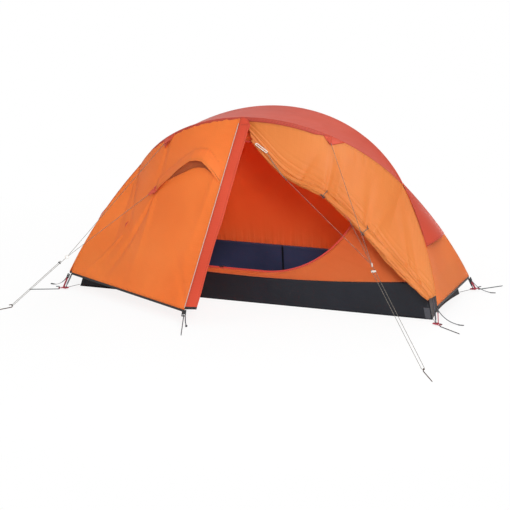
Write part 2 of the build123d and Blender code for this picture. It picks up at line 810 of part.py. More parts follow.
# Corner feet: a webbing patch with an eyelet for the pole tip and a tab for the peg, and a strap to the hem
strap_lines = {}
feet = {}
for name, (side_x, side_y) in corners.items():
    tube_end, down = leg_end(side_x, side_y)
    feet[name] = tube_end + down * ((tube_end.Z - foot_tab_z) / -down.Z)
    hem_corner = edge_point(side_x * hem_angle, fly_mid, 0, side_y)
    strap_foot = feet[name] + Vector(side_x * strap_stand_off, 0, 0)
    strap_lines[name] = (strap_foot, hem_corner)

with BuildPart() as corner_straps:
    for name, foot in feet.items():
        heading = Location((foot.X, foot.Y, 0), (0, 0, peg_bearings[name]))
        with BuildSketch(Plane.XY.offset(foot_tab_z - strap_t / 2)):
            with Locations(heading):
                Circle(foot_disc_r)
                with Locations((peg_reach / 2, 0)):
                    RectangleRounded(peg_reach + peg_rim, peg_tab_w, peg_rim)
                Circle(eyelet_d / 2, mode=Mode.SUBTRACT)
                with Locations((peg_reach - peg_rim / 2 - peg_hole_r, 0)):
                    Circle(peg_hole_r, mode=Mode.SUBTRACT)
        extrude(amount=strap_t)
        strap_foot, hem_corner = strap_lines[name]
        along = (hem_corner - strap_foot).normalized()
        strap_top = hem_corner - along * (buckle_drop + buckle_length + strap_gap)
        flat_bar(strap_foot, strap_top, along.cross(Vector(1, 0, 0)), strap_w, strap_t)
finish(corner_straps, "corner_straps")

with BuildPart() as buckles:
    for strap_foot, hem_corner in strap_lines.values():
        along = (hem_corner - strap_foot).normalized()
        start = hem_corner - along * (buckle_drop + buckle_length)
        width_dir = along.cross(Vector(1, 0, 0))
        face = Plane(start, x_dir=width_dir, z_dir=width_dir.cross(along))
        with BuildSketch(face.offset(-buckle_t / 2)):
            with Locations((0, buckle_length / 2)):
                RectangleRounded(buckle_w, buckle_length, buckle_bar)
            for slot in buckle_slots:
                with Locations((0, slot)):
                    Rectangle(buckle_w - 2 * buckle_bar, buckle_bar, mode=Mode.SUBTRACT)
        extrude(amount=buckle_t)
finish(buckles, "strap_buckles")

with BuildPart() as tub_cords:
    for name, (side_x, side_y) in corners.items():
        tub_corner = Vector(side_x * tub_half_length, side_y * tub_half_width, foot_tab_z)
        heading = (feet[name] - tub_corner).normalized()
        rod(tub_corner + heading * strap_gap, feet[name] - heading * (foot_disc_r + strap_gap), guy_d / 2)
finish(tub_cords, "tub_corner_cords")

with BuildPart() as strap_tails:
    for name, (strap_foot, hem_corner) in strap_lines.items():
        heading = bearing(tail_bearings[name])
        along = (hem_corner - strap_foot).normalized()
        buckle_middle = hem_corner - along * (buckle_drop + buckle_length / 2)
        start = buckle_middle + heading * (buckle_t / 2 + tail_t + tail_gap)
        fall = Plane((start.X, start.Y, 0), x_dir=heading, z_dir=heading.cross(upward))
        with BuildLine(fall) as path:
            ThreePointArc(
                (0, start.Z),
                (tail_bend_reach * tail_length, tail_bend_height * start.Z),
                (tail_length, tail_t / 2 + strap_gap),
            )
        with BuildSketch(Plane(path.wire() @ 0, x_dir=heading.cross(upward), z_dir=path.wire() % 0)):
            Rectangle(tail_w, tail_t)
        sweep(path=path.wire())
finish(strap_tails, "strap_tails")


def peg(hook, heading, up):
    """Wire peg that lies along a heading, its bent head hooked round a point."""
    with BuildPart() as piece:
        with BuildLine(Plane(hook, x_dir=heading, z_dir=heading.cross(up))) as path:
            Line((peg_length, -peg_bend_r), (0, -peg_bend_r))
            ThreePointArc((0, -peg_bend_r), (-peg_bend_r, 0), (0, peg_bend_r))
            Line((0, peg_bend_r), (peg_return, peg_bend_r))
        wire = path.wire()
        with BuildSketch(Plane(wire @ 0, z_dir=wire % 0)):
            Circle(peg_d / 2)
        sweep(path=wire)
        tip_plane = Plane(wire @ 0, z_dir=heading)
        with BuildSketch(tip_plane):
            Circle(peg_d / 2)
        with BuildSketch(tip_plane.offset(peg_point)):
            Circle(peg_point_d / 2)
        loft()
    return piece


hook_reach = peg_bend_r - peg_d / 2 - peg_rim / 2 - peg_gap
for name, foot in feet.items():
    heading = bearing(peg_bearings[name])
    finish(peg(foot + heading * (peg_reach + hook_reach), heading, upward), f"peg_{name}")

# Porch peg: a webbing tab at the porch corner, and a peg that leans from it to the floor
porch_heading = bearing(porch_peg_bearing)
porch_fall = porch_heading * cos(radians(porch_peg_pitch)) - upward * sin(radians(porch_peg_pitch))
porch_up = porch_heading * sin(radians(porch_peg_pitch)) + upward * cos(radians(porch_peg_pitch))
porch_hook = porch_corner + porch_fall * (porch_tab_length + hook_reach)
with BuildPart() as porch_tab:
    with BuildSketch(Plane(porch_corner, x_dir=porch_fall, z_dir=porch_up)):
        with Locations(((porch_tab_length + porch_tab_start + peg_rim / 2) / 2, 0)):
            Rectangle(porch_tab_length + peg_rim / 2 - porch_tab_start, peg_tab_w)
        with Locations((porch_tab_length - peg_rim / 2 - peg_hole_r, 0)):
            Circle(peg_hole_r, mode=Mode.SUBTRACT)
    extrude(amount=strap_t / 2, both=True)
finish(porch_tab, "porch_peg_tab")
finish(peg(porch_hook, porch_fall, porch_up), "peg_porch")

# Vent hood on the left porch panel: an arched brim that stands off the cloth


def porch_at(angle, share, stand_off):
    """Point lifted off the left porch panel, a share of the way down a strip, and the way it faces."""
    normal = cloth_normal(porch_strip(angle + 1), porch_strip(angle - 1), share)
    return between(porch_strip(angle), share) + normal * stand_off, normal


vent_turns = [-32.0, -27.0, -19.0, -12.0, -8.0]
vent_seam = [0.30, 0.19, 0.14, 0.19, 0.28]
vent_brim = [0.33, 0.26, 0.22, 0.26, 0.32]
vent_lift = [0.3, 0.8, 1.0, 0.8, 0.3]
vent_strips = []
for turn, seam, brim, lift in zip(vent_turns, vent_seam, vent_brim, vent_lift):
    top, _ = porch_at(turn, seam, cloth_t + vent_seat)
    foot, _ = porch_at(turn, brim, cloth_t + vent_seat + lift * vent_stand_off)
    vent_strips.append((top, foot))
finish(cloth([vent_strips], cloth_t), "fly_vent_hood")

# Guy lines: two legs from webbing tabs to a ring, then a doubled line round the peg with a runner
guy_rings = {"left": Vector(-1008, -655, 267), "right": Vector(847, -680, 385)}
guy_ends = {"left": Vector(-1248, -886, guy_end_z), "right": Vector(1307, -1275, guy_end_z)}
guy_peg_bearings = {"left": 240.0, "right": 300.0}
guy_strip = 4
roll_station = 6
right_normal = cloth_normal(right_strips[guy_strip - 1], right_strips[guy_strip + 1], 0)
roll_under, roll_under_r = roll_line[roll_station]
under_pull = (guy_rings["right"] - roll_under).normalized()
under_normal = roll_direction(roll_station).cross(under_pull).normalized()
under_across = roll_direction(roll_station).cross(under_normal).normalized()
under_slope = roll_direction(roll_station).dot(under_pull) / abs(under_across.dot(under_pull))
under_reach = (roll_under_r + strap_t / 2 + guy_gap) / abs(under_across.dot(under_pull))
guy_bases = {
    "left": [
        (*porch_at(*guy_left_upper, guy_tab_seat), 0),
        (*porch_at(*guy_left_lower, guy_tab_seat), 0),
    ],
    "right": [
        (between(right_strips[guy_strip], guy_right_share) + right_normal * guy_tab_seat, right_normal, 0),
        (roll_under + under_pull * under_reach, under_normal, under_slope),
    ],
}
ring_reach = guy_ring_r + guy_ring_d / 2 + guy_gap


def tab_tip(base, ring):
    """Far end of a guy tab that points from its base at the ring."""
    return base + (ring - base).normalized() * guy_tab_length


with BuildPart() as guy_tabs:
    for side_name, bases in guy_bases.items():
        for base, normal, slope in bases:
            pull = (guy_rings[side_name] - base).normalized()
            sideways = pull.cross(normal)
            skew = slope * guy_tab_w / 2
            with BuildSketch(Plane(base, x_dir=pull, z_dir=pull.cross(sideways))):
                Polygon(
                    (-skew, -guy_tab_w / 2),
                    (guy_tab_length, -guy_tab_tip / 2),
                    (guy_tab_length, guy_tab_tip / 2),
                    (skew, guy_tab_w / 2),
                    align=None,
                )
            extrude(amount=strap_t / 2, both=True)
finish(guy_tabs, "guy_tabs")

for side_name, bases in guy_bases.items():
    upper_base, lower_base = [base for base, _, _ in bases]
    ring = guy_rings[side_name]
    loop_end = guy_ends[side_name]
    with BuildPart() as legs:
        for base in (upper_base, lower_base):
            pull = (ring - base).normalized()
            rod(tab_tip(base, ring) + pull * guy_gap, ring - pull * ring_reach, guy_d / 2)
    finish(legs, f"guy_legs_{side_name}")

    with BuildPart(Plane(ring, z_dir=(upper_base - ring).cross(lower_base - ring))) as guy_ring:
        Torus(guy_ring_r, guy_ring_d / 2)
    finish(guy_ring, f"guy_ring_{side_name}")

    level = Vector(loop_end.X - ring.X, loop_end.Y - ring.Y, 0).normalized()
    sideways = level.cross(upward)
    line_end = loop_end - sideways * (guy_spread / 2)
    line_dir = (line_end - ring).normalized()
    turn_at = (line_end - ring).length
    tail_plane = Plane(ring, x_dir=line_dir, z_dir=line_dir.cross(sideways))
    with BuildPart() as tail:
        with BuildLine(tail_plane) as path:
            Line((ring_reach, 0), (turn_at, 0))
            ThreePointArc((turn_at, 0), (turn_at + guy_spread / 2, guy_spread / 2), (turn_at, guy_spread))
            Line((turn_at, guy_spread), (runner_rest - 2 * knot_r, guy_spread))
        wire = path.wire()
        with BuildSketch(Plane(wire @ 0, z_dir=wire % 0)):
            Circle(guy_d / 2)
        sweep(path=wire)
        knot = wire @ 1
        rod(knot - line_dir * knot_r, knot + line_dir * knot_r, knot_r)
    finish(tail, f"guy_tail_{side_name}")

    with BuildPart() as runner:
        with BuildSketch(Plane(ring + line_dir * runner_rest, x_dir=sideways, z_dir=line_dir)):
            with Locations((guy_spread / 2, 0)):
                RectangleRounded(guy_spread + runner_h, runner_h, runner_h / 3)
            for hole_x in (0, guy_spread):
                with Locations((hole_x, 0)):
                    Circle(guy_d / 2 + guy_gap, mode=Mode.SUBTRACT)
        extrude(amount=runner_l)
    finish(runner, f"guy_runner_{side_name}")

    heading = bearing(guy_peg_bearings[side_name])
    loop_far = loop_end + line_dir * (guy_spread / 2)
    hook_rod = loop_far - level * (guy_d / 2 + peg_d / 2 + 2 * guy_gap)
    hook = Vector(hook_rod.X, hook_rod.Y, foot_tab_z) + heading * peg_bend_r
    finish(peg(hook, heading, upward), f"guy_peg_{side_name}")
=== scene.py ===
import logging
import math
from dataclasses import dataclass
from enum import Enum
from typing import Any, Optional, Sequence, Union

import bpy
import numpy as np
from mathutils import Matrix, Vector


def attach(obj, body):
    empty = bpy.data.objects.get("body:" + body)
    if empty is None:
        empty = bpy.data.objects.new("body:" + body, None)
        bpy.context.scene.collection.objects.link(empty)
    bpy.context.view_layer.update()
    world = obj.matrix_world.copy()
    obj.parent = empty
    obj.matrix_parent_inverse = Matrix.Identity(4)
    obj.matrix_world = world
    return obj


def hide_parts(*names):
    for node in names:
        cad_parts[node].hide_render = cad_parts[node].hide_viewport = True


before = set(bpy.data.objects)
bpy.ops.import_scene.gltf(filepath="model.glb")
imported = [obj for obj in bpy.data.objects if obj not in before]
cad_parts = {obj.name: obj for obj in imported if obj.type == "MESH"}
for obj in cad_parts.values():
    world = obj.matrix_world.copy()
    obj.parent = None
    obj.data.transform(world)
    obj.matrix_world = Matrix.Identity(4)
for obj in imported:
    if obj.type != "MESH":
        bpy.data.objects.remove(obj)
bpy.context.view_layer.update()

# A one-person trekking tent. Metres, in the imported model's frame: X along the tent, Y from the porch
# to the back, Z up from the floor. Every cloth is a surface worked out on a grid of two parameters.

log = logging.getLogger("tent")
Array = np.ndarray
Point = tuple[float, float, float]
Object = bpy.types.Object
Tree = bpy.types.NodeTree
Socket = bpy.types.NodeSocket
TENT = "tent"
POLES = ("front_pole_tubes", "rear_pole_tubes")
UP = np.array([0.0, 0.0, 1.0])
FORWARD = np.array([0.0, -1.0, 0.0])
TUB_HALF_LENGTH = 1.095
TUB_HALF_WIDTH = 0.305
RIGHT_RING: Point = (0.847, -0.680, 0.385)
RING_REACH = 0.0122
CORD_D = 0.0025


class Side(Enum):
    """Front or back of the tent, as the sign of Y."""

    FRONT = -1
    BACK = 1


class End(Enum):
    """Left or right end of the tent, as the sign of X."""

    LEFT = -1
    RIGHT = 1

    def outside(self) -> Array:
        """Direction out of this end, turned a little upwards."""
        return np.array([self.value, 0.0, 0.3])


# Small helpers for vectors, meshes and shader nodes


def unit(vectors: Array) -> Array:
    """Vectors over their last axis, scaled to length one."""
    return vectors / np.maximum(np.linalg.norm(vectors, axis=-1, keepdims=True), 1e-12)


def outward(points: Array, toward: Array) -> Array:
    """Normals of a grid surface, the cross product of its two derivatives, turned to one side.

    Args:
        points: grid of points, shape (n, m, 3).
        toward: direction that the normals share on average.

    Returns:
        Unit normals of the same shape.
    """
    normals = unit(np.cross(np.gradient(points, axis=0), np.gradient(points, axis=1)))
    return normals if float(np.mean(normals @ toward)) > 0 else -normals


def arc_length(points: Array, axis: int) -> Array:
    """Running length along one axis of a grid, from zero.

    Args:
        points: grid of points, shape (n, m, 3).
        axis: 0 or 1.

    Returns:
        Lengths in metres, shape (n, m).
    """
    steps = np.linalg.norm(np.diff(points, axis=axis), axis=-1)
    start = np.zeros_like(np.take(steps, [0], axis=axis))
    return np.concatenate([start, np.cumsum(steps, axis=axis)], axis=axis)


def smooth_line(stations: Array, places: Array) -> Array:
    """Catmull-Rom curve through stations: the cubic whose slope at each is half its neighbours' gap.

    Args:
        stations: rows of values, shape (k, c).
        places: station numbers with fractions, any shape.

    Returns:
        Values at those places, shape (*places.shape, c).
    """
    padded = np.vstack([2 * stations[0] - stations[1], stations, 2 * stations[-1] - stations[-2]])
    index = np.clip(np.floor(places).astype(int), 0, len(stations) - 2)
    t = (places - index)[..., None]
    p0, p1, p2, p3 = (padded[index + k] for k in range(4))
    square = (2 * p0 - 5 * p1 + 4 * p2 - p3) * t**2
    cube = (3 * p1 - p0 - 3 * p2 + p3) * t**3
    return 0.5 * (2 * p1 + (p2 - p0) * t + square + cube)


def ripple(phase: Array) -> Array:
    """Uneven wave between about -1 and 1: three sines of unrelated pitch added up."""
    return 0.5 * np.sin(phase) + 0.3 * np.sin(1.73 * phase + 1.1) + 0.2 * np.sin(2.91 * phase + 0.4)


def plane(first: Array, second: Array) -> Array:
    """Every pair of two rows of parameters, shape (n, m, 2)."""
    return np.stack(np.meshgrid(first, second, indexing="ij"), axis=-1)


def swept(line: Array, one: Array, two: Array, a: Array, b: Array) -> Array:
    """Section carried along a line: line + one * a + two * b.

    Args:
        line: points, shape (n, 3).
        one: the section's first direction at each point, shape (n, 3).
        two: its second direction.
        a: the section's coordinates along the first, shape (m,) or (n, m).
        b: its coordinates along the second.

    Returns:
        Grid of points, shape (n, m, 3).
    """
    return line[:, None] + one[:, None] * a[..., None] + two[:, None] * b[..., None]


def surface_area(points: Array) -> float:
    """Area of a grid surface: half the diagonals' cross product, added over its cells."""
    first = points[1:, 1:] - points[:-1, :-1]
    second = points[1:, :-1] - points[:-1, 1:]
    return float(np.linalg.norm(np.cross(first, second), axis=-1).sum() / 2)


def grid_object(name: str, points: Array, seams: bool = True, wrap: bool = False) -> Object:
    """Mesh object from a grid, with a UV map in metres and its distance to the nearest edge.

    Args:
        name: object name.
        points: grid of points, shape (n, m, 3).
        seams: keep the distance to the grid's edges in the attribute "seam".
        wrap: close the grid in its second direction.

    Returns:
        The new object, at the origin.
    """
    n, m = points.shape[:2]
    index = np.arange(n * m).reshape(n, m)
    right = np.roll(index, -1, axis=1)
    quads = np.stack([index[:-1], right[:-1], right[1:], index[1:]], axis=-1)
    if not wrap:
        quads = quads[:, :-1]
    mesh = bpy.data.meshes.new(name)
    mesh.from_pydata(points.reshape(-1, 3), [], quads.reshape(-1, 4))
    u, v = arc_length(points, 0), arc_length(points, 1)
    flat = np.stack([v, u], axis=-1).reshape(-1, 2)
    loops = np.zeros(len(mesh.loops), np.int32)
    mesh.loops.foreach_get("vertex_index", loops)
    layer = mesh.uv_layers.new(name="UVMap")
    layer.data.foreach_set("uv", flat[loops].astype(np.float32).ravel())
    if seams:
        edge = np.minimum(np.minimum(u, u[-1:] - u), np.minimum(v, v[:, -1:] - v))
        seam = mesh.attributes.new("seam", "FLOAT", "POINT")
        seam.data.foreach_set("value", edge.astype(np.float32).ravel())
    mesh.polygons.foreach_set("use_smooth", np.ones(len(mesh.polygons), bool))
    obj = bpy.data.objects.new(name, mesh)
    bpy.context.scene.collection.objects.link(obj)
    return obj


def closed_tube(name: str, line: Array, radius: float, around: int = 12) -> Object:
    """Round rod along a closed line: line + radius * (cos s * side + sin s * rise) at each of its points.

    Args:
        name: object name.
        line: points of the closed line, shape (n, 3).
        radius: of the rod.
        around: points round the rod.

    Returns:
        The new object.
    """
    heading = unit(np.roll(line, -1, axis=0) - np.roll(line, 1, axis=0))
    axis = unit(np.cross(heading, np.roll(heading, -3, axis=0)).sum(axis=0) + 1e-9)
    side = unit(np.cross(heading, axis))
    s = np.linspace(0, 2 * math.pi, around, endpoint=False)
    grid = swept(line, side, np.cross(heading, side), radius * np.cos(s), radius * np.sin(s))
    return grid_object(name, np.concatenate([grid, grid[:1]]), seams=False, wrap=True)


def thicken(obj: Object, thickness: float) -> Object:
    """Gives a surface the cloth's thickness, half to each side."""
    solid = obj.modifiers.new("Thickness", "SOLIDIFY")
    solid.thickness = thickness
    solid.offset = 0
    return obj


def fixed(obj: Object, finish: "Finish") -> Object:
    """Dresses a small piece and lets it ride on the tent."""
    finish.dress(obj)
    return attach(obj, TENT)


def linear(hex_colour: str) -> tuple[float, float, float, float]:
    """Turns an sRGB hex colour into linear red, green and blue with full alpha."""
    values = [int(hex_colour[k : k + 2], 16) / 255 for k in (1, 3, 5)]
    red, green, blue = (c / 12.92 if c <= 0.04045 else ((c + 0.055) / 1.055) ** 2.4 for c in values)
    return red, green, blue, 1.0


def toned(hex_colour: str, factor: float, added: float = 0.0) -> tuple[float, ...]:
    """Linear colour made darker or paler by a factor and a small sum."""
    return tuple(min(1.0, c * factor + added) for c in linear(hex_colour)[:3]) + (1.0,)


def add(tree: Tree, kind: str, sockets: Optional[dict] = None, **settings: Any) -> bpy.types.Node:
    """Adds a shader node with its settings, values and links.

    Args:
        tree: node tree that takes it.
        kind: node type without the "ShaderNode" in front.
        sockets: input name or number to a value, or to the output socket that feeds it.
        settings: attributes of the node itself.

    Returns:
        The new node.
    """
    made = tree.nodes.new("ShaderNode" + kind)
    for key, value in settings.items():
        setattr(made, key, value)
    for key, value in (sockets or {}).items():
        if isinstance(value, Socket):
            tree.links.new(value, made.inputs[key])
        else:
            made.inputs[key].default_value = value
    return made


def bands(pitch_mm: float) -> float:
    """Scale of a Wave texture whose bands repeat every so many millimetres, on metre coordinates."""
    return 2 * math.pi / 20 / (pitch_mm / 1000)


def cells(size_mm: float) -> float:
    """Scale of a Noise texture whose blobs are about so many millimetres across."""
    return 1000 / size_mm


@dataclass(frozen=True)
class Finish:
    """A surface finish; a subclass adds its nodes in draw().

    Attributes:
        name: the real material's plain name.
        colour: its colour, as sRGB hex.
    """

    name: str
    colour: str

    def material(self) -> bpy.types.Material:
        """Makes the material, or returns it if it was made before."""
        made = bpy.data.materials.get(self.name)
        if made is None:
            made = bpy.data.materials.new(self.name)
            made.use_nodes = True
            made.node_tree.nodes.clear()
            out = add(made.node_tree, "OutputMaterial")
            made.node_tree.links.new(self.draw(made.node_tree), out.inputs["Surface"])
        return made

    def draw(self, tree: Tree) -> Socket:
        """Draws the finish and returns its shader socket."""
        raise NotImplementedError

    def dress(self, obj: Object) -> Object:
        """Puts the finish on an object in place of what it had."""
        obj.data.materials.clear()
        obj.data.materials.append(self.material())
        return obj


@dataclass(frozen=True)
class ShellCloth(Finish):
    """Coated ripstop polyester: plain weave with a raised grid, a satin coat, and light that comes through.

    Attributes:
        shade: a deeper tone of the colour, blended in at random by slow noise, as sRGB hex.
        through: share of the light that the cloth lets through.
        glow: colour of that light, as sRGB hex.
        roughness: of the coat.
        thread: colour of the seams' stitching, as sRGB hex.
        grid_mm: pitch of the ripstop grid; the real one is 5, drawn coarser so that it shows.
        wrinkle_mm: size of the small wrinkles.
        wrinkle: how strongly they catch the light.
        glow_low: colour of the light through its foot, as sRGB hex; painted light, paler there for the light
            that falls on the foot.
        specular: level of the coat's mirror-like share; 0.5 is plain plastic.
    """

    shade: str = "#000000"
    through: float = 0.3
    glow: str = "#ff9a58"
    roughness: float = 0.55
    thread: str = "#7a2413"
    grid_mm: float = 14.0
    wrinkle_mm: float = 90.0
    wrinkle: float = 0.16
    glow_low: Optional[str] = None
    specular: float = 0.5

    def draw(self, tree: Tree) -> Socket:
        """Cloth colour with slow variation, ripstop grid, seam stitching and a translucent share."""
        place = add(tree, "TexCoord").outputs
        slow = add(tree, "TexNoise", {"Vector": place["Object"], "Scale": cells(420), "Detail": 3.0})
        tone = add(tree, "ValToRGB", {"Fac": slow.outputs["Fac"]})
        for stop, place_on, colour in zip(tone.color_ramp.elements, (0.30, 0.66), (self.shade, self.colour)):
            stop.position = place_on
            stop.color = linear(colour)
        wave = {"Vector": place["UV"], "Scale": bands(self.grid_mm)}
        warp, weft = (add(tree, "TexWave", wave, bands_direction=way).outputs["Fac"] for way in ("X", "Y"))
        grid = add(tree, "Math", {0: warp, 1: weft}, operation="MAXIMUM").outputs[0]
        raised = add(tree, "MapRange", {"Value": grid, "From Min": 0.93, "From Max": 1.0}).outputs["Result"]
        # A Mix node's colour sockets come after its number and vector sockets, so they go by number
        woven = add(tree, "Mix", {0: raised, 6: (1, 1, 1, 1), 7: (0.94, 0.94, 0.94, 1)}, data_type="RGBA")
        both = {0: 1.0, 6: tone.outputs["Color"], 7: woven.outputs[2]}
        shaded = add(tree, "Mix", both, data_type="RGBA", blend_type="MULTIPLY").outputs[2]
        seam = add(tree, "Attribute", attribute_name="seam").outputs["Fac"]
        stitch = self.stitch_rows(tree, seam, place["UV"])
        colour = add(tree, "Mix", {0: stitch, 6: shaded, 7: linear(self.thread)}, data_type="RGBA").outputs[2]
        noise = {"Vector": place["Object"], "Scale": cells(self.wrinkle_mm), "Detail": 4.0, "Distortion": 0.6}
        small = add(tree, "TexNoise", noise).outputs["Fac"]
        crinkle = add(tree, "Bump", {"Height": small, "Strength": self.wrinkle, "Distance": 0.012})
        ridges = {"Height": grid, "Strength": 0.12, "Distance": 0.0008, "Normal": crinkle.outputs[0]}
        weave = add(tree, "Bump", ridges).outputs[0]
        shine = {"Value": small, "To Min": self.roughness - 0.07, "To Max": self.roughness + 0.09}
        gloss = add(tree, "MapRange", shine).outputs["Result"]
        coat = add(
            tree,
            "BsdfPrincipled",
            {
                "Base Color": colour,
                "Roughness": gloss,
                "Normal": weave,
                "Specular IOR Level": self.specular,
                "Sheen Weight": 0.06,
                "Sheen Roughness": 0.4,
            },
        )
        glow = add(tree, "BsdfTranslucent", {"Color": linear(self.glow), "Normal": weave})
        # Painted light: the glow's colour turns paler towards the foot, from 0.75 m down to 0.25 m high
        if self.glow_low is not None:
            height = add(tree, "SeparateXYZ", {0: place["Object"]}).outputs["Z"]
            fall = {"Value": height, "From Min": 0.75, "From Max": 0.25}
            lower = add(tree, "MapRange", fall).outputs["Result"]
            ends = {0: lower, 6: linear(self.glow), 7: linear(self.glow_low)}
            painted_glow_by_height = add(tree, "Mix", ends, data_type="RGBA").outputs[2]
            tree.links.new(painted_glow_by_height, glow.inputs["Color"])
        return add(tree, "MixShader", {0: self.through, 1: coat.outputs[0], 2: glow.outputs[0]}).outputs[0]

    def stitch_rows(self, tree: Tree, seam: Socket, place: Socket) -> Socket:
        """Two broken rows of thread, 5 and 11 mm from the cloth's edge, as a factor.

        Args:
            tree: node tree.
            seam: distance to the nearest edge, in metres.
            place: the cloth's own UV, in metres.

        Returns:
            A factor socket, strongest on the thread.
        """
        rows = []
        for row in (0.005, 0.011):
            off = add(tree, "Math", {0: seam, 1: row}, operation="SUBTRACT").outputs[0]
            gap = add(tree, "Math", {0: off}, operation="ABSOLUTE").outputs[0]
            thread = {"Value": gap, "From Min": 0.0016, "From Max": 0.0004, "To Max": 0.55}
            rows.append(add(tree, "MapRange", thread).outputs["Result"])
        both = add(tree, "Math", {0: rows[0], 1: rows[1]}, operation="MAXIMUM").outputs[0]
        wave = {"Vector": place, "Scale": bands(9)}
        dash = add(tree, "TexWave", wave, bands_direction="DIAGONAL").outputs["Fac"]
        gaps = add(tree, "MapRange", {"Value": dash, "From Min": 0.2, "From Max": 0.4}).outputs["Result"]
        return add(tree, "Math", {0: both, 1: gaps}, operation="MULTIPLY").outputs[0]


@dataclass(frozen=True)
class Webbing(Finish):
    """Woven tape or webbing: close ribs across it with painted shade in their hollows, a little fuzz, and no
    shine.

    Attributes:
        rib_mm: pitch of the ribs; real ones are about 1, drawn coarser so that they show.
    """

    rib_mm: float = 2.4

    def draw(self, tree: Tree) -> Socket:
        """Ribbed colour, darker in the rib hollows as painted shade, and bump on object coordinates."""
        place = add(tree, "TexCoord").outputs["Object"]
        wave = {"Vector": place, "Scale": bands(self.rib_mm)}
        ribs = add(tree, "TexWave", wave, bands_direction="DIAGONAL").outputs["Fac"]
        worn = add(tree, "TexNoise", {"Vector": place, "Scale": cells(12), "Detail": 3.0}).outputs["Fac"]
        # Painted shade: the tone follows the ribs' height, darkest in the hollows between them
        deep = toned(self.colour, 0.62)
        tone = add(tree, "Mix", {0: ribs, 6: deep, 7: linear(self.colour)}, data_type="RGBA").outputs[2]
        bump = add(tree, "Bump", {"Height": ribs, "Strength": 0.35, "Distance": 0.0006}).outputs[0]
        rough = add(tree, "MapRange", {"Value": worn, "To Min": 0.72, "To Max": 0.92}).outputs["Result"]
        woven = {"Base Color": tone, "Roughness": rough, "Normal": bump, "Sheen Weight": 0.08}
        return add(tree, "BsdfPrincipled", woven).outputs[0]


@dataclass(frozen=True)
class Metal(Finish):
    """Drawn or anodised aluminium: a clean metal with faint lengthwise scratches.

    Attributes:
        roughness: of the surface between the scratches.
    """

    roughness: float = 0.34

    def draw(self, tree: Tree) -> Socket:
        """Metal with noise in its roughness and its colour."""
        place = add(tree, "TexCoord").outputs["Object"]
        fine = add(tree, "TexNoise", {"Vector": place, "Scale": cells(4), "Detail": 5.0}).outputs["Fac"]
        dull = toned(self.colour, 0.7)
        tone = add(tree, "Mix", {0: fine, 6: dull, 7: linear(self.colour)}, data_type="RGBA").outputs[2]
        shine = {"Value": fine, "To Min": self.roughness - 0.1, "To Max": self.roughness + 0.14}
        rough = add(tree, "MapRange", shine).outputs["Result"]
        bump = add(tree, "Bump", {"Height": fine, "Strength": 0.05, "Distance": 0.0004}).outputs[0]
        drawn = {"Base Color": tone, "Metallic": 1.0, "Roughness": rough, "Normal": bump}
        return add(tree, "BsdfPrincipled", drawn).outputs[0]


@dataclass(frozen=True)
class Moulded(Finish):
    """Moulded acetal or nylon: a fine even grain and a soft shine, paler where it is rubbed.

    Attributes:
        roughness: of the moulded grain.
    """

    roughness: float = 0.45

    def draw(self, tree: Tree) -> Socket:
        """Grained plastic on object coordinates."""
        place = add(tree, "TexCoord").outputs["Object"]
        grain = add(tree, "TexNoise", {"Vector": place, "Scale": cells(1.5), "Detail": 2.0}).outputs["Fac"]
        rubbed = add(tree, "TexNoise", {"Vector": place, "Scale": cells(14), "Detail": 3.0}).outputs["Fac"]
        pale = toned(self.colour, 1.35, 0.01)
        spots = {"Value": rubbed, "From Min": 0.5, "From Max": 0.8, "To Max": 0.6}
        share = add(tree, "MapRange", spots).outputs["Result"]
        tone = add(tree, "Mix", {0: share, 6: linear(self.colour), 7: pale}, data_type="RGBA").outputs[2]
        bump = add(tree, "Bump", {"Height": grain, "Strength": 0.12, "Distance": 0.0003}).outputs[0]
        shine = {"Value": rubbed, "To Min": self.roughness - 0.06, "To Max": self.roughness + 0.1}
        rough = add(tree, "MapRange", shine).outputs["Result"]
        cast = {"Base Color": tone, "Roughness": rough, "Normal": bump}
        return add(tree, "BsdfPrincipled", cast).outputs[0]


@dataclass(frozen=True)
class Braid(Finish):
    """Braided polyester cord: slanting strands that cross, in two close tones.

    Attributes:
        fleck: colour of the tracer strand, as sRGB hex.
        strand_mm: pitch of the strands.
    """

    fleck: str = "#6b675f"
    strand_mm: float = 5.0

    def draw(self, tree: Tree) -> Socket:
        """Crossing strands on object coordinates."""
        place = add(tree, "TexCoord").outputs["Object"]
        turned = add(tree, "Mapping", {"Vector": place, "Rotation": (0.6, 0.4, 1.2)}).outputs[0]
        one, two = (
            add(tree, "TexWave", {"Vector": way, "Scale": bands(self.strand_mm)}, bands_direction="DIAGONAL")
            for way in (place, turned)
        )
        strands = {0: one.outputs["Fac"], 1: two.outputs["Fac"]}
        cross = add(tree, "Math", strands, operation="MULTIPLY").outputs[0]
        share = add(tree, "MapRange", {"Value": cross, "From Min": 0.1, "From Max": 0.6}).outputs["Result"]
        tones = {0: share, 6: linear(self.fleck), 7: linear(self.colour)}
        tone = add(tree, "Mix", tones, data_type="RGBA").outputs[2]
        bump = add(tree, "Bump", {"Height": cross, "Strength": 0.4, "Distance": 0.0005}).outputs[0]
        return add(tree, "BsdfPrincipled", {"Base Color": tone, "Roughness": 0.78, "Normal": bump}).outputs[0]


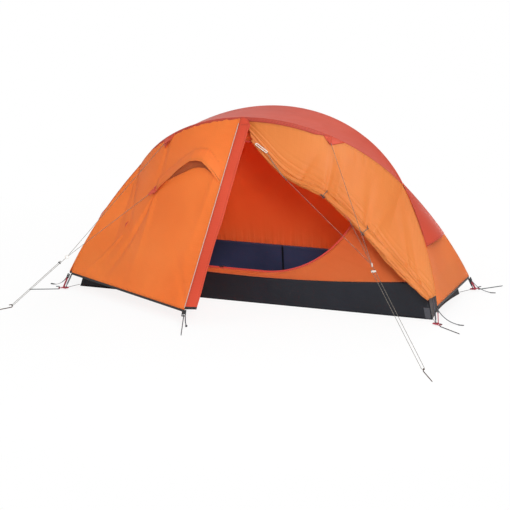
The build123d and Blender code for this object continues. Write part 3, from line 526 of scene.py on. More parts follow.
@dataclass(frozen=True)
class Finishes:
    """Every finish on the tent."""

    # Fly: satin cloth in warm orange, lighter where the lamp behind shines through
    fly_orange: Finish = ShellCloth(
        "Coated ripstop, orange", "#f69140", "#ec8233", 0.48, "#ffb078", 0.58, "#8c3413"
    )
    # Right panel and rolled door: the same orange cloth with painted light, paler and less saturated as a
    # painted highlight of the lamps on this lit side
    fly_orange_painted_light: Finish = ShellCloth(
        "Coated ripstop, light orange", "#ee9b4e", "#e48c40", 0.48, "#f7bb8c", 0.54, "#8c3413"
    )
    # Roof, hoods and flap: a denser cloth that hardly glows
    fly_red: Finish = ShellCloth(
        "Coated ripstop, brick red", "#cf4a2b", "#c23e22", 0.22, "#ff8050", 0.58, "#6e1d10"
    )
    # Welt along the sleeve: the red cloth in painted shade, a darker line below the roof on the sleeve's
    # front face
    sleeve_red_painted_shade: Finish = ShellCloth(
        "Coated ripstop, dark red", "#b23a26", "#a5331f", 0.1, "#e0603c", 0.6, "#5a160c"
    )
    # Inner tent: thin and matt, so that it glows; its glow is painted light, palest at its foot, where light
    # falls in through the door
    inner: Finish = ShellCloth(
        "Breathable polyester, orange", "#f28646", "#e87837", 0.66, "#ffa878", 0.72, "#8c2c10",
        glow_low="#ffdcc8",
    )
    # Tub outside: almost black, with a dull shine on its wrinkles
    floor_cloth: Finish = ShellCloth(
        "Coated floor cloth, charcoal", "#0e111b", "#0a0c13", 0.0, "#000000", 0.46, "#15151a",
        14.0, 70.0, 0.22, specular=0.3,
    )
    # Tub inside: a bluer coat, and lighter as a painted sheen of its lit inner wall, so that the two sides
    # part at the rim
    floor_lining_and_sheen: Finish = ShellCloth(
        "Coated floor cloth, slate lining", "#3a4060", "#282d44", 0.0, "#000000", 0.42, "#20222c",
        14.0, 60.0, 0.3, specular=0.4,
    )
    # Vent's mouth: a dull brown crescent of mesh, painted dark as the shade under the brim
    vent_painted_shade: Finish = ShellCloth(
        "Fine polyester mesh, brown", "#a04a1c", "#883c14", 0.15, "#b05020", 0.8, "#5a2208", 4.0
    )
    # Tapes: ribbed and matt, without a highlight
    red_tape: Finish = Webbing("Red webbing", "#b5243c")
    red_zip: Finish = Webbing("Red zip tape", "#c83b2f", 3.0)
    grey_tape: Finish = Webbing("Grey webbing", "#8f9094")
    dark_grey_tape: Finish = Webbing("Dark grey tape", "#484b52")
    black_tape: Finish = Webbing("Black binding tape", "#131316")
    pale_piping: Finish = Webbing("Pale reflective piping", "#c9c4bc", 3.0)
    red_cloth_tab: Finish = Webbing("Red reinforcing tape", "#c9482f", 3.2)
    # Cords: two close tones that break up the thin line
    guy_cord: Finish = Braid("Braided guy cord, grey", "#857e73", "#5a544c")
    dark_cord: Finish = Braid("Braided cord, black", "#26252a", "#3b3a40")
    # Metals: dark, with a soft streak of light along the rod
    pole: Finish = Metal("Anodised aluminium tube, dark grey", "#53565c", 0.40)
    peg: Finish = Metal("Anodised aluminium wire, dark grey", "#5a5f62", 0.42)
    line_peg: Finish = Metal("Anodised aluminium wire, brown", "#5a443a", 0.42)
    slider: Finish = Metal("Coated zinc slider", "#4a4a50", 0.42)
    # Plastics: a soft even shine, paler on rubbed spots
    dark_plastic: Finish = Moulded("Moulded plastic, black", "#222226")
    brown_plastic: Finish = Moulded("Moulded plastic, brown", "#4b3126")
    pale_plastic: Finish = Moulded("Moulded plastic, off white", "#d3d0c8")


FINISHES = Finishes()


@dataclass
class ArchFrame:
    """Geometry of the two leaning arch poles, which every cloth follows.

    Attributes:
        foot_half_length: half the span of a pole's feet along X.
        foot_half_width: half the spread of the feet along Y.
        crown_reach: how far a pole's crown leans past the middle.
        crown_height: height of the crown.
        crown_half_angle: turn in degrees where the crown arc becomes a side arc.
        foot_angle: turn in degrees at the foot.
        fly_offset: the fly's middle surface, outside the poles' common arch.
    """

    foot_half_length: float = 1.150
    foot_half_width: float = 0.414
    crown_reach: float = 0.216
    crown_height: float = 1.065
    crown_half_angle: float = 57.0
    foot_angle: float = 77.7
    fly_offset: float = 0.01396

    def __post_init__(self) -> None:
        """Works out both radii, so that the two arcs meet smoothly and reach the crown and the foot."""
        self.rise = math.hypot(self.foot_half_width + self.crown_reach, self.crown_height)
        self.lean_y = (self.foot_half_width + self.crown_reach) / self.rise
        self.lean_z = self.crown_height / self.rise
        turn, foot = math.radians(self.crown_half_angle), math.radians(self.foot_angle)
        spans = [math.sin(turn), math.sin(foot) - math.sin(turn)]
        falls = [1 - math.cos(turn), math.cos(turn) - math.cos(foot)]
        radii = np.linalg.solve(np.array([spans, falls]), [self.foot_half_length, self.rise])
        self.crown_radius, self.side_radius = radii
        self.crown_v = self.rise - self.crown_radius
        self.side_u = (self.crown_radius - self.side_radius) * math.sin(turn)
        self.side_v = self.crown_v + (self.crown_radius - self.side_radius) * math.cos(turn)

    def arch(self, angle: Array, offset: Union[float, Array]) -> tuple[Array, Array]:
        """Arch in its own plane: two tangent arcs, mirrored left to right.

        Args:
            angle: turns in degrees from the crown.
            offset: distance outside the arch.

        Returns:
            Coordinates along X and up the leaning plane.
        """
        turn = np.radians(np.abs(angle))
        on_crown = np.abs(angle) <= self.crown_half_angle
        radius = np.where(on_crown, self.crown_radius, self.side_radius) + offset
        u = np.where(on_crown, 0.0, self.side_u) + radius * np.sin(turn)
        v = np.where(on_crown, self.crown_v, self.side_v) + radius * np.cos(turn)
        return np.sign(angle) * u, v

    def edge(self, angle: Array, offset: float, lap: float, side: Side, share: float = 1.0) -> Array:
        """Points beside whichever arch stands outermost: y = share * |foot - lean * v| + lap.

        Args:
            angle: turns in degrees.
            offset: distance outside the arch.
            lap: how far past the arch.
            side: front or back.
            share: factor on the arch's own distance from the middle.

        Returns:
            Points, shape (*angle.shape, 3).
        """
        u, v = self.arch(angle, offset)
        y = side.value * (share * np.abs(self.foot_half_width - self.lean_y * v) + lap)
        return np.stack([u, y, self.lean_z * v], axis=-1)

    def band(self, angles: Array, across: Array, offset: float, lap: float, share: float = 1.0) -> Array:
        """Cloth between the arches: straight along Y from the front edge to the back edge.

        Args:
            angles: turns in degrees, n of them.
            across: places from -1 at the front to 1 at the back, m of them.
            offset: distance outside the arch.
            lap: how far past the arches.
            share: as in edge().

        Returns:
            Grid of points, shape (n, m, 3).
        """
        front = self.edge(angles, offset, lap, Side.FRONT, share)
        back = self.edge(angles, offset, lap, Side.BACK, share)
        return front[:, None] + (back - front)[:, None] * ((across[None, :, None] + 1) / 2)

    def side_angle(self, height: float, offset: float) -> float:
        """Turn in degrees at which a side arc, offset outwards, passes a height."""
        return math.degrees(math.acos((height / self.lean_z - self.side_v) / (self.side_radius + offset)))

    def crossing(self, offset: float = 0.0) -> float:
        """Turn in degrees at which the two arches cross."""
        up = self.foot_half_width / self.lean_y
        return math.degrees(math.acos((up - self.crown_v) / (self.crown_radius + offset)))


def turns(marks: Sequence[float], step: float) -> Array:
    """Turns from the first mark to the last that land on each mark, about a step apart."""
    runs = [np.linspace(a, b, max(2, int(abs(b - a) / step) + 1))[:-1] for a, b in zip(marks, marks[1:])]
    return np.concatenate(runs + [[marks[-1]]])


def strips(upper: Array, lower: Array, rows: int) -> Array:
    """Ruled cloth: straight strips from upper points to lower points.

    Args:
        upper: points, shape (n, 3).
        lower: points, shape (n, 3).
        rows: points along each strip.

    Returns:
        Grid of points, shape (n, rows, 3).
    """
    share = np.linspace(0, 1, rows)[None, :, None]
    return upper[:, None] + (lower - upper)[:, None] * share


@dataclass(frozen=True)
class Crease:
    """Tension crease: a ridge or valley along a segment of a cloth's plane of two parameters.

    Attributes:
        height: of the ridge, below zero for a valley.
        start: where it begins, and where it is sharpest.
        end: where it has faded out.
        width: distance at which its bell has fallen to about a third.
    """

    height: float
    start: tuple[float, float]
    end: tuple[float, float]
    width: float

    def lift(self, place: Array) -> Array:
        """Height off the cloth: height * exp(-(gap / spread)**2) * (1 - t)**0.7, with t along the segment.

        Args:
            place: parameter pairs, shape (n, m, 2).

        Returns:
            Heights, shape (n, m).
        """
        start = np.array(self.start)
        run = np.array(self.end) - start
        t = np.clip(((place - start) @ run) / (run @ run), 0, 1)
        gap = np.linalg.norm(place - (start + t[..., None] * run), axis=-1)
        return self.height * (np.exp(-((gap / (self.width * (0.5 + t))) ** 2)) * (1 - t) ** 0.7)


def creased(place: Array, creases: Sequence[Crease]) -> Array:
    """Several creases added up over a plane of parameter pairs."""
    return sum(crease.lift(place) for crease in creases)


@dataclass
class Cloth:
    """One cloth piece, ready to be put into the scene.

    Attributes:
        name: object name.
        grid: its surface.
        nodes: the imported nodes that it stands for.
        finish: its finish.
        flat: width and length of the piece that it was cut from.
        area: flat area of the cut.
        slot: material slot in the record.
        held: how it is held.
        rests_on: what carries it.
        body: the body that it rides on.
        thickness: of the cloth.
        lining: finish of its other side, if that differs.
    """

    name: str
    grid: Array
    nodes: Sequence[str]
    finish: Finish
    flat: tuple[float, float]
    # slot: name of its material slot; not used here.
    area: float
    slot: str
    held: str = "stretched"
    rests_on: Sequence[str] = POLES
    body: str = TENT
    thickness: float = 0.0008
    lining: Optional[Finish] = None

    @classmethod
    def panel(cls, node: str, *settings: Any, **more: Any) -> "Cloth":
        """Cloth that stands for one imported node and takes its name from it.

        Args:
            node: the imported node.
            settings: grid, finish, flat, area and slot.
            more: the other attributes.

        Returns:
            The cloth.
        """
        grid, finish, flat, area, slot = settings
        return cls(f"{node}_cloth", grid, [node], finish, flat, area, slot, **more)

    def put(self) -> Object:
        obj = thicken(grid_object(self.name, self.grid), self.thickness)
        self.finish.dress(obj)
        if self.lining is not None:
            obj.data.materials.append(self.lining.material())
            obj.modifiers[0].material_offset = 1
        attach(obj, self.body)
        if self.nodes:
            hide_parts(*self.nodes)
        log.info("%s: %.3f square metres, cut %.3f", self.name, surface_area(self.grid), self.area)
        return obj


def pucker(
    grid: Array, normals: Array, edges: str, pitch: float, height: float, reach: float, ease: float = 0.004
) -> Array:
    """Small gathers beside sewn edges: an uneven wave along each that dies out away from it.

    Args:
        grid: surface.
        normals: its normals.
        edges: any of "t", "b", "l", "r": first and last column, first and last row.
        pitch: distance between gathers.
        height: of the gathers.
        reach: distance at which they have fallen to a third.
        ease: distance over which they rise from the seam.

    Returns:
        The moved surface.
    """
    u, v = arc_length(grid, 0), arc_length(grid, 1)
    lift = np.zeros(u.shape)
    runs = {"t": (u, v), "b": (u, v[:, -1:] - v), "l": (v, u), "r": (v, u[-1:] - u)}
    for edge in edges:
        along, gap = runs[edge]
        wave = height * ripple(2 * math.pi * along / pitch)
        lift += wave * np.exp(-gap / reach) * np.minimum(1, gap / ease)
    return grid + normals * lift[..., None]


@dataclass
class FlyCover:
    """The outer tent: roof, ends, porch panels, back, vent, storm flap and the rolled door.

    Other fields are named for what they shape: lengths in metres, turns in degrees, or shares.

    Attributes:
        poles: the arch frame.
        lap: how far the roof and ends reach past the arches.
        panel_lap: how far out the front and back panels start.
        hem_height: height of the end and back hems.
        hood_hem: height of the end hoods' hems.
        hood_lap: how far the ends reach up under the hoods.
        corner_trim: turn in degrees cut off at a hem's corner.
        left_span: turn in degrees that counts as one in the left panel's creases.
        back_span: turn in degrees that counts as one in the back panel's creases.
        zip_angle: turn in degrees at which the porch zip starts.
        porch_corner: bottom of the porch zip.
        flap_drop: how much longer its foot is at the hinge.
        seat_rows: shares from the brim at which its band's seat is given.
        seat_rise: heights of that seat.
        fold_slant: radians by which they move on for each station.
        patches: name, right panel or left, and corners of each patch.
        brim_stations: turn, share of the strip and share of the stand-off along the brim.
        roll_stations: middle line and radius along the rolled door.
        roll_turns: turns in degrees of the right panel's upper edge at the first stations.
        roll_cover: share of the roll's radius that the panel stops at, upwards and forwards.
        tie_spread: square of the distance that a tie reaches, in stations.
        left_creases: creases of the left panel.
        right_creases: creases of the right panel.
        back_creases: creases of the back panel, on one side of its middle.
    """

    poles: ArchFrame
    lap: float = 0.008
    panel_lap: float = 0.0098
    hem_height: float = 0.100
    hood_hem: float = 0.390
    hood_lap: float = 0.060
    hood_gap: float = 0.003
    hood_flare: float = 0.042
    corner_trim: float = 1.5
    roof_hollow: float = 0.004
    end_hollow: float = 0.012
    left_hollow: float = 0.012
    right_hollow: float = 0.006
    back_hollow: float = 0.014
    left_span: float = 70.0
    left_first: float = 0.0714
    left_wide: float = 0.98
    back_span: float = 75.0
    zip_angle: float = -5.0
    porch_corner: Point = (-0.180, -0.880, 0.085)
    zip_start: float = 0.040
    zip_end_gap: float = 0.012
    flap_w: float = 0.072
    flap_tilt: float = 14.0
    flap_lift: float = 0.0026
    flap_inset: float = 0.0016
    flap_gap: float = 0.0024
    flap_wave: float = 0.006
    flap_wave_length: float = 0.11
    flap_binding: float = 0.014
    binding_t: float = 0.0028
    flap_drop: float = 0.010
    flap_drop_reach: float = 0.12
    apex_w: float = 0.074
    apex_lift: float = 0.0012
    apex_curl: float = 0.007
    vent_stand_off: float = 0.044
    vent_top: float = 0.03
    vent_power: float = 1.8
    vent_fall: float = 0.010
    brim_over: float = 0.010
    seat_rows: tuple[float, ...] = (-0.075, -0.058, -0.044)
    seat_rise: tuple[float, ...] = (-0.0016, -0.0012, 0.0016)
    mouth_depth: float = 0.030
    mouth_least: float = 0.005
    mouth_tuck: float = 0.004
    mouth_lift: float = 0.0016
    welt_turns: tuple[float, float] = (-46.0, 27.0)
    welt_w: float = 0.022
    welt_taper: float = 6.0
    welt_stand_off: float = 0.003
    welt_bulge: float = 0.0012
    sleeve_turn: float = 33.0
    sleeve_offset: float = 0.005
    sleeve_radius: float = 0.0056
    sleeve_uneven: float = 0.0004
    sleeve_t: float = 0.0006
    fold_height: float = 0.006
    fold_pitch: float = 0.0058
    fold_slant: float = 1.9
    fold_reach: float = 0.070
    fold_ease: float = 0.006
    patch_lift: float = 0.0024
    patches: tuple[tuple[str, bool, tuple[tuple[float, float], ...]], ...] = (
        ("guy_patch_right", True, ((4.2, 0.165), (3.6, 0.0), (4.8, 0.0))),
        ("guy_patch_left_upper", False, ((-36.0, 0.075), (-31.0, 0.0), (-38.0, 0.0))),
        ("guy_patch_left_lower", False, ((-30.5, 0.306), (-37.2, 0.325), (-36.6, 0.378))),
        ("fly_side_loop", False, ((-48.6, 0.515), (-50.4, 0.530), (-50.2, 0.562))),
    )
    brim_stations: tuple[Point, ...] = (
        (5.7, 0.343, 0.06),
        (8.5, 0.303, 0.45),
        (11.4, 0.265, 0.80),
        (13.7, 0.240, 0.95),
        (16.2, 0.232, 1.00),
        (18.8, 0.232, 1.00),
        (23.4, 0.263, 0.80),
        (27.7, 0.295, 0.45),
        (31.0, 0.311, 0.20),
        (36.0, 0.345, 0.00),
    )
    roll_stations: tuple[tuple[float, float, float, float], ...] = (
        (-0.015, -0.240, 0.948, 0.009),
        (0.070, -0.249, 0.860, 0.012),
        (0.158, -0.258, 0.784, 0.015),
        (0.262, -0.269, 0.731, 0.018),
        (0.350, -0.279, 0.705, 0.021),
        (0.446, -0.290, 0.669, 0.024),
        (0.569, -0.300, 0.582, 0.028),
        (0.694, -0.315, 0.479, 0.030),
        (0.800, -0.329, 0.383, 0.029),
        (0.911, -0.345, 0.283, 0.026),
        (1.005, -0.360, 0.206, 0.021),
        (1.090, -0.374, 0.137, 0.013),
    )
    roll_turns: tuple[float, ...] = (-3.5, 4.0, 11.0, 18.0, 26.0, 33.0, 40.0, 47.5)
    roll_winds: float = 5.5
    roll_cover: tuple[float, float] = (0.80, 0.35)
    roll_flat: float = 0.82
    tie_stations: tuple[int, int] = (5, 7)
    tie_spread: float = 0.05
    tie_squeeze: float = 0.14
    tie_hold: float = 0.9
    left_creases: tuple[Crease, ...] = (
        Crease(-0.016, (0.52, 0.36), (0.80, 1.0), 0.022),
        Crease(0.010, (0.52, 0.36), (0.56, 0.95), 0.030),
        Crease(-0.010, (0.80, 0.02), (0.66, 0.75), 0.020),
        Crease(0.008, (0.74, 0.62), (0.97, 0.97), 0.020),
        Crease(-0.007, (0.50, 0.02), (0.52, 0.34), 0.020),
        Crease(0.006, (0.12, 0.33), (0.20, 0.95), 0.030),
        Crease(-0.006, (0.08, 0.98), (0.35, 0.60), 0.030),
    )
    right_creases: tuple[Crease, ...] = (
        Crease(-0.012, (0.455, 1.0), (0.40, 0.0), 0.018),
        Crease(0.010, (0.50, 1.0), (0.47, 0.1), 0.022),
        Crease(-0.012, (0.636, 1.0), (0.60, 0.15), 0.020),
        Crease(0.010, (0.67, 1.0), (0.72, 0.1), 0.022),
        Crease(-0.008, (0.30, 1.0), (0.36, 0.1), 0.022),
        Crease(0.007, (0.86, 0.9), (0.72, 0.05), 0.022),
        Crease(-0.006, (0.93, 0.9), (0.80, 0.2), 0.018),
    )
    back_creases: tuple[Crease, ...] = (
        Crease(-0.014, (0.74, 0.02), (0.66, 0.9), 0.03),
        Crease(0.010, (0.97, 0.97), (0.55, 0.35), 0.03),
        Crease(-0.006, (0.42, 0.02), (0.36, 0.8), 0.035),
    )

    def __post_init__(self) -> None:
        """Works out the turns at the crossing and the hems."""
        self.cross = self.poles.crossing()
        self.hem = self.poles.side_angle(self.hem_height, self.poles.fly_offset)
        self.hood = self.poles.side_angle(self.hood_hem, self.poles.fly_offset)
        self.end_top = self.poles.side_angle(self.hood_hem + self.hood_lap, self.poles.fly_offset)

    def roof(self) -> Cloth:
        """Leaf-shaped roof between the two crowns, gathered a little along the sleeves."""
        across = np.linspace(-1, 1, 61)
        grid = self.poles.band(turns((-self.cross, self.cross), 0.5), across, self.poles.fly_offset, self.lap)
        normals = outward(grid, UP)
        grid = grid - normals * (self.roof_hollow * (1 - across**2))[:, None]
        grid = pucker(grid, normals, "tb", pitch=0.055, height=0.0012, reach=0.035)
        return Cloth.panel("fly_roof", grid, FINISHES.fly_red, (0.48, 1.92), 0.52, "fly_red")

    def end_piece(self, end: End, hooded: bool) -> Cloth:
        """One end: the orange lower part, or the red hood that laps over it.

        Args:
            end: left or right.
            hooded: the hood rather than the lower part.

        Returns:
            The cloth.
        """
        side = end.name.lower()
        first, last = (self.cross + 0.05, self.hood) if hooded else (self.end_top, self.hem)
        across = np.linspace(-1, 1, 49)
        offset = self.poles.fly_offset + (self.hood_gap if hooded else 0.0)
        grid = self.poles.band(end.value * turns((first, last), 0.25), across, offset, self.lap)
        normals = outward(grid, end.outside())
        down = np.linspace(0, 1, len(grid))[:, None]
        middle = 1 - across**2
        if hooded:
            grid = grid + normals * (self.hood_flare * down**2.5 * middle**1.5)[..., None]
            grid = pucker(grid, normals, "tb", pitch=0.06, height=0.0012, reach=0.03)
            return Cloth.panel(f"fly_end_hood_{side}", grid, FINISHES.fly_red, (0.40, 0.38), 0.070, "fly_red")
        grid = grid - normals * (self.end_hollow * np.sin(math.pi * down) * middle)[..., None]
        grid = pucker(grid, normals, "tbr", pitch=0.07, height=0.0014, reach=0.04)
        return Cloth.panel(f"fly_end_{side}", grid, FINISHES.fly_orange, (0.73, 0.38), 0.193, "fly_orange")

    def rim(self, angles: Array, side: Side = Side.FRONT) -> Array:
        """Upper edge of the porch panels or the back panel, at turns."""
        return self.poles.edge(angles, self.poles.fly_offset, self.panel_lap, side)

    def left_edges(self, angles: Array) -> tuple[Array, Array]:
        """Upper and lower edge of the left porch panel at turns; the hem is straight and evenly shared."""
        corner = np.array(self.porch_corner)
        share = (self.zip_angle - angles) / (self.zip_angle + self.hem)
        return self.rim(angles), corner + (self.rim(np.array(-self.hem)) - corner) * share[..., None]

    def roll_path(self, places: Array) -> tuple[Array, Array, Array]:
        """Middle line, radius and direction of the rolled door at station numbers."""
        stations = np.array(self.roll_stations)
        line = smooth_line(stations, places)
        after = smooth_line(stations, np.minimum(places + 0.02, len(stations) - 1))
        before = smooth_line(stations, np.maximum(places - 0.02, 0))
        return line[..., :3], line[..., 3], unit((after - before)[..., :3])

    def right_edges(self, places: Array) -> tuple[Array, Array]:
        """Upper and lower edge of the right porch panel at the rolled door's station numbers."""
        legs = np.linspace(self.cross, self.hem - self.corner_trim, 4)
        marks = np.concatenate([self.roll_turns, legs])
        middle, radius, along = self.roll_path(places)
        upper = self.rim(np.interp(places, np.arange(len(marks)), marks))
        climb = unit(upper - middle)
        above, ahead = self.roll_cover
        reach = (above * radius) / np.linalg.norm(np.cross(climb, along), axis=-1)
        front = unit(np.cross(along, np.cross(FORWARD, along)))
        return upper, middle + climb * reach[..., None] + front * (ahead * radius)[..., None]

    def lifted(self, right: bool, places: Array, shares: Array, lift: Union[float, Array]) -> Array:
        """Points on a porch panel, lifted along its normal: the cross product of its edge and its strip.

        Args:
            right: the right panel, placed by roll station, rather than the left, placed by turn.
            places: stations, or turns in degrees.
            shares: from 0 at the panel's upper edge to 1 at its lower one.
            lift: height off the panel.

        Returns:
            Points, shape (*places.shape, 3).
        """
        edges, step = (self.right_edges, 0.05) if right else (self.left_edges, 0.5)
        upper, lower = edges(places)
        near, near_low = edges(places + step)
        spot = upper + (lower - upper) * shares[..., None]
        run = near + (near_low - near) * shares[..., None] - spot
        normal = unit(np.cross(run, lower - upper))
        facing = np.where((normal @ FORWARD)[..., None] > 0, normal, -normal)
        return spot + facing * np.asarray(lift)[..., None]

    def porch_left(self) -> Cloth:
        """Left porch panel: ruled strips with tension creases from the vent, the crossing and the loop."""
        angles = turns((self.zip_angle, -self.cross, -self.hem + self.corner_trim), 0.4)
        shares = np.linspace(0, 1, 130)
        grid = strips(*self.left_edges(angles), len(shares))
        normals = outward(grid, FORWARD)
        place = plane(angles / -self.left_span, shares)
        wide = np.clip((place[..., 0] - self.left_first) / self.left_wide, 0, 1)
        hollow = self.left_hollow * np.sin(math.pi * wide) * np.sin(math.pi * place[..., 1])
        vent = self.vent_lift(angles[:, None], shares)
        grid = grid + normals * (creased(place, self.left_creases) - hollow + vent)[..., None]
        grid = pucker(grid, normals, "tbl", pitch=0.075, height=0.0016, reach=0.05)
        return Cloth.panel("fly_porch_left", grid, FINISHES.fly_orange, (1.19, 1.36), 0.835, "fly_orange")

    def tied(self, places: Array) -> Array:
        """How near a place is to one of the two ties: exp(-d**2 / spread), added over both."""
        return sum(np.exp(-((places - tie) ** 2) / self.tie_spread) for tie in self.tie_stations)

    def porch_right(self) -> Cloth:
        """Right porch panel: strips from the front edge down to the top of the rolled door.

        Where it is drawn into the roll, folds run nearly along it and die out upwards.
        """
        leg, last = len(self.roll_turns), len(self.roll_stations) - 1
        places = np.concatenate([np.linspace(0, leg, 150)[:-1], np.linspace(leg, last, 70)])
        upper, lower = self.right_edges(places)
        grid = strips(upper, lower, 80)
        normals = outward(grid, FORWARD)
        place = plane(places / last, np.linspace(0, 1, 80))
        hollow = self.right_hollow * np.sin(math.pi * place[..., 1])
        drawn = np.linalg.norm(lower - upper, axis=-1)[:, None] * (1 - place[..., 1])
        folds = self.fold_height * ripple(places[:, None] * self.fold_slant + drawn / self.fold_pitch)
        folds = folds * (1 - self.tie_hold * self.tied(places))[:, None]
        folds = folds * np.exp(-((drawn / self.fold_reach) ** 2)) * np.tanh(drawn / self.fold_ease)
        grid = grid + normals * (creased(place, self.right_creases) + folds - hollow)[..., None]
        grid = pucker(grid, normals, "tb", pitch=0.05, height=0.0016, reach=0.05)
        # Painted light: the right panel wears a paler copy of the orange cloth, a painted highlight of its
        # lit side
        return Cloth.panel("fly_porch_right", grid, FINISHES.fly_orange_painted_light, (0.50, 1.72), 0.360, "fly_orange")

    def back(self) -> Cloth:
        """Back panel: ruled strips from the back edge down to a straight hem."""
        last = self.hem - self.corner_trim
        angles = turns((-last, -self.cross, self.cross, last), 0.5)
        lower = np.tile(self.rim(np.array(self.hem), Side.BACK), (len(angles), 1))
        lower[:, 0] *= angles / self.hem
        grid = strips(self.rim(angles, Side.BACK), lower, 110)
        normals = outward(grid, -FORWARD)
        place = plane(angles / self.back_span, np.linspace(0, 1, 110))
        mirrored = place * np.array([-1.0, 1.0])
        lift = creased(mirrored, self.back_creases) + creased(place, self.back_creases)
        hollow = self.back_hollow * np.sin(math.pi * place[..., 1]) * np.cos(math.pi * place[..., 0] / 2)
        grid = grid + normals * (lift - hollow)[..., None]
        grid = pucker(grid, normals, "tb", pitch=0.08, height=0.0016, reach=0.05)
        return Cloth.panel("fly_back", grid, FINISHES.fly_orange, (2.28, 1.02), 1.715, "fly_orange")

    def zip_frame(self) -> tuple[Array, Array, Array, Array, float]:
        """Zip's start, its right, outward and downward directions, and its length."""
        top = self.rim(np.array(self.zip_angle))
        run = np.array(self.porch_corner) - top
        down = unit(run)
        right = unit(np.cross(FORWARD, down))
        return top, right, np.cross(down, right), down, float(np.linalg.norm(run))

    def flap_axes(self) -> tuple[Array, Array]:
        """Directions across the tilted flap and off it."""
        _, right, out, _, _ = self.zip_frame()
        tilt = math.radians(self.flap_tilt)
        return right * math.cos(tilt) + out * math.sin(tilt), out * math.cos(tilt) - right * math.sin(tilt)

    def flap_grid(self, first: float, rows: int) -> Array:
        """Flap hinged on the piping: flat across, curling down at its free edge, which is a little wavy.

        Near its foot it is longer at the hinge, by flap_drop * (1 - wide).

        Args:
            first: where it begins, down the zip.
            rows: points down the zip.

        Returns:
            Grid of points, shape (rows, 24, 3).
        """
        top, right, out, down, length = self.zip_frame()
        lay, rise = self.flap_axes()
        foot = length - self.zip_end_gap
        along = np.linspace(first, foot, rows)
        wide = np.linspace(0, 1, 24)
        near_foot = np.clip(1 - (foot - along) / self.flap_drop_reach, 0, 1)
        fall = along[:, None] + self.flap_drop * near_foot[:, None] * (1 - wide)
        hinge = top - right * self.flap_inset + out * self.flap_lift
        width = self.flap_gap + wide * self.flap_w
        wave = ripple(along / self.flap_wave_length)[:, None] * wide**1.5
        bend = self.flap_wave * (wave - wide**2)
        return hinge + down * fall[..., None] + lay * width[:, None] + rise * bend[..., None]

    def storm_flap(self) -> Cloth:
        """Red flap over the zip."""
        grid = self.flap_grid(self.zip_start, 150)
        return Cloth.panel(
            "fly_storm_flap", grid, FINISHES.fly_red, (self.flap_w, 1.134), 0.0817, "fly_red",
            held="hung", rests_on=["fly_door_piping"], body="storm_flap",
        )

    def flap_hem(self) -> Cloth:
        """Black binding folded round the flap's lower end."""
        first = self.zip_frame()[4] - self.zip_end_gap - self.flap_binding
        flat = (self.flap_binding, self.flap_w)
        return Cloth(
            "fly_flap_binding", self.flap_grid(first, 5), [], FINISHES.black_tape, flat, flat[0] * flat[1],
            "binding_black", "hung", ["fly_storm_flap_cloth"], "storm_flap", self.binding_t,
        )

    def brim(self, angles: Array) -> tuple[Array, Array]:
        """Share of the strip at which the vent's brim lies, and how far it stands off there.

        Args:
            angles: turns in degrees.

        Returns:
            Shares, and lifts in metres; the lift is nothing past the brim's ends.
        """
        stations = np.array(self.brim_stations)
        share = np.interp(-angles, stations[:, 0], stations[:, 1])
        lift = np.interp(-angles, stations[:, 0], stations[:, 2], left=0, right=0)
        return share, self.vent_stand_off * lift

    def brim_turns(self) -> Array:
        """Turns along the brim, just inside its end stations, as a column."""
        return np.linspace(-self.brim_stations[-1][0] + 0.2, -self.brim_stations[0][0] - 0.2, 120)[:, None]

    def vent_lift(self, angles: Array, shares: Array) -> Array:
        """Swelling of the panel: lift * ((share - top) / (brim - top))**power, ending below the brim."""
        brim, lift = self.brim(angles)
        above = np.clip((shares - self.vent_top) / (brim - self.vent_top), 0, 1) ** self.vent_power
        return lift * above * np.exp(-np.maximum(shares - brim, 0) / self.vent_fall)

    def vent_hood(self) -> Cloth:
        """Stiffened brim of the vent: a band on the swelling panel that runs on past its edge."""
        angles = self.brim_turns()
        brim, lift = self.brim(angles)
        rows = np.linspace(self.seat_rows[0], self.brim_over, 24)
        seat = np.interp(rows, self.seat_rows, self.seat_rise)
        swell = np.clip((brim + rows - self.vent_top) / (brim - self.vent_top), 0, 1.1) ** self.vent_power
        grid = self.lifted(False, angles + 0 * rows, brim + rows, lift * swell + seat)
        return Cloth.panel(
            "fly_vent_hood", grid, FINISHES.fly_orange, (0.13, 0.56), 0.038, "fly_red",
            rests_on=["fly_porch_left_cloth"],
        )

    def vent_mouth(self) -> Cloth:
        """Dark crescent under the brim, drawn as mesh in the vent's mouth and painted as its shade; deepest
        where the brim stands off.
        """
        angles = self.brim_turns()
        brim, lift = self.brim(angles)
        deep = self.mouth_depth * (lift / self.vent_stand_off) ** 1.5 + self.mouth_least
        shares = brim - self.mouth_tuck + deep * np.linspace(0, 1, 10)
        rise = self.vent_lift(angles, shares) + self.mouth_lift
        grid = self.lifted(False, angles + 0 * shares, shares, rise)
        return Cloth(
            "fly_vent_mesh", grid, [], FINISHES.vent_painted_shade, (0.07, 0.56), surface_area(grid), "fly_orange",
            rests_on=["fly_porch_left_cloth"],
        )

    def roll(self) -> Cloth:
        """Rolled door half: a spiral radius * wind * (1 + lobes) on the middle line, held by its ties."""
        places = np.linspace(0, len(self.roll_stations) - 1, 220)
        middle, radius, along = self.roll_path(places)
        level = unit(np.cross(UP, along))
        tie = self.tied(places)
        radius = radius * (1 - self.tie_squeeze * tie) * (1 + 0.10 * ripple(places * 3.1))
        wind = np.linspace(0.35, 1.0, 130)
        theta = 2 * math.pi * self.roll_winds * wind
        drift = places[:, None]
        lobes = 0.15 * np.sin(2 * theta + drift * 1.3)
        lobes += 0.15 * np.abs(np.sin(2.5 * theta - drift * 1.9))
        lobes += 0.08 * np.sin(7 * theta + drift * 4.1)
        reach = radius[:, None] * wind * (1 + lobes * (1 - self.tie_hold * tie[:, None]))
        section = reach * np.cos(theta), self.roll_flat * reach * np.sin(theta)
        grid = swept(middle, level, np.cross(along, level), *section)
        # Painted light: the roll wears the same paler copy of the orange cloth, a painted highlight
        return Cloth.panel(
            "fly_door_roll", grid, FINISHES.fly_orange_painted_light, (0.46, 1.50), 0.47, "fly_orange",
            held="gathered", rests_on=["door_tie_loops"],
        )

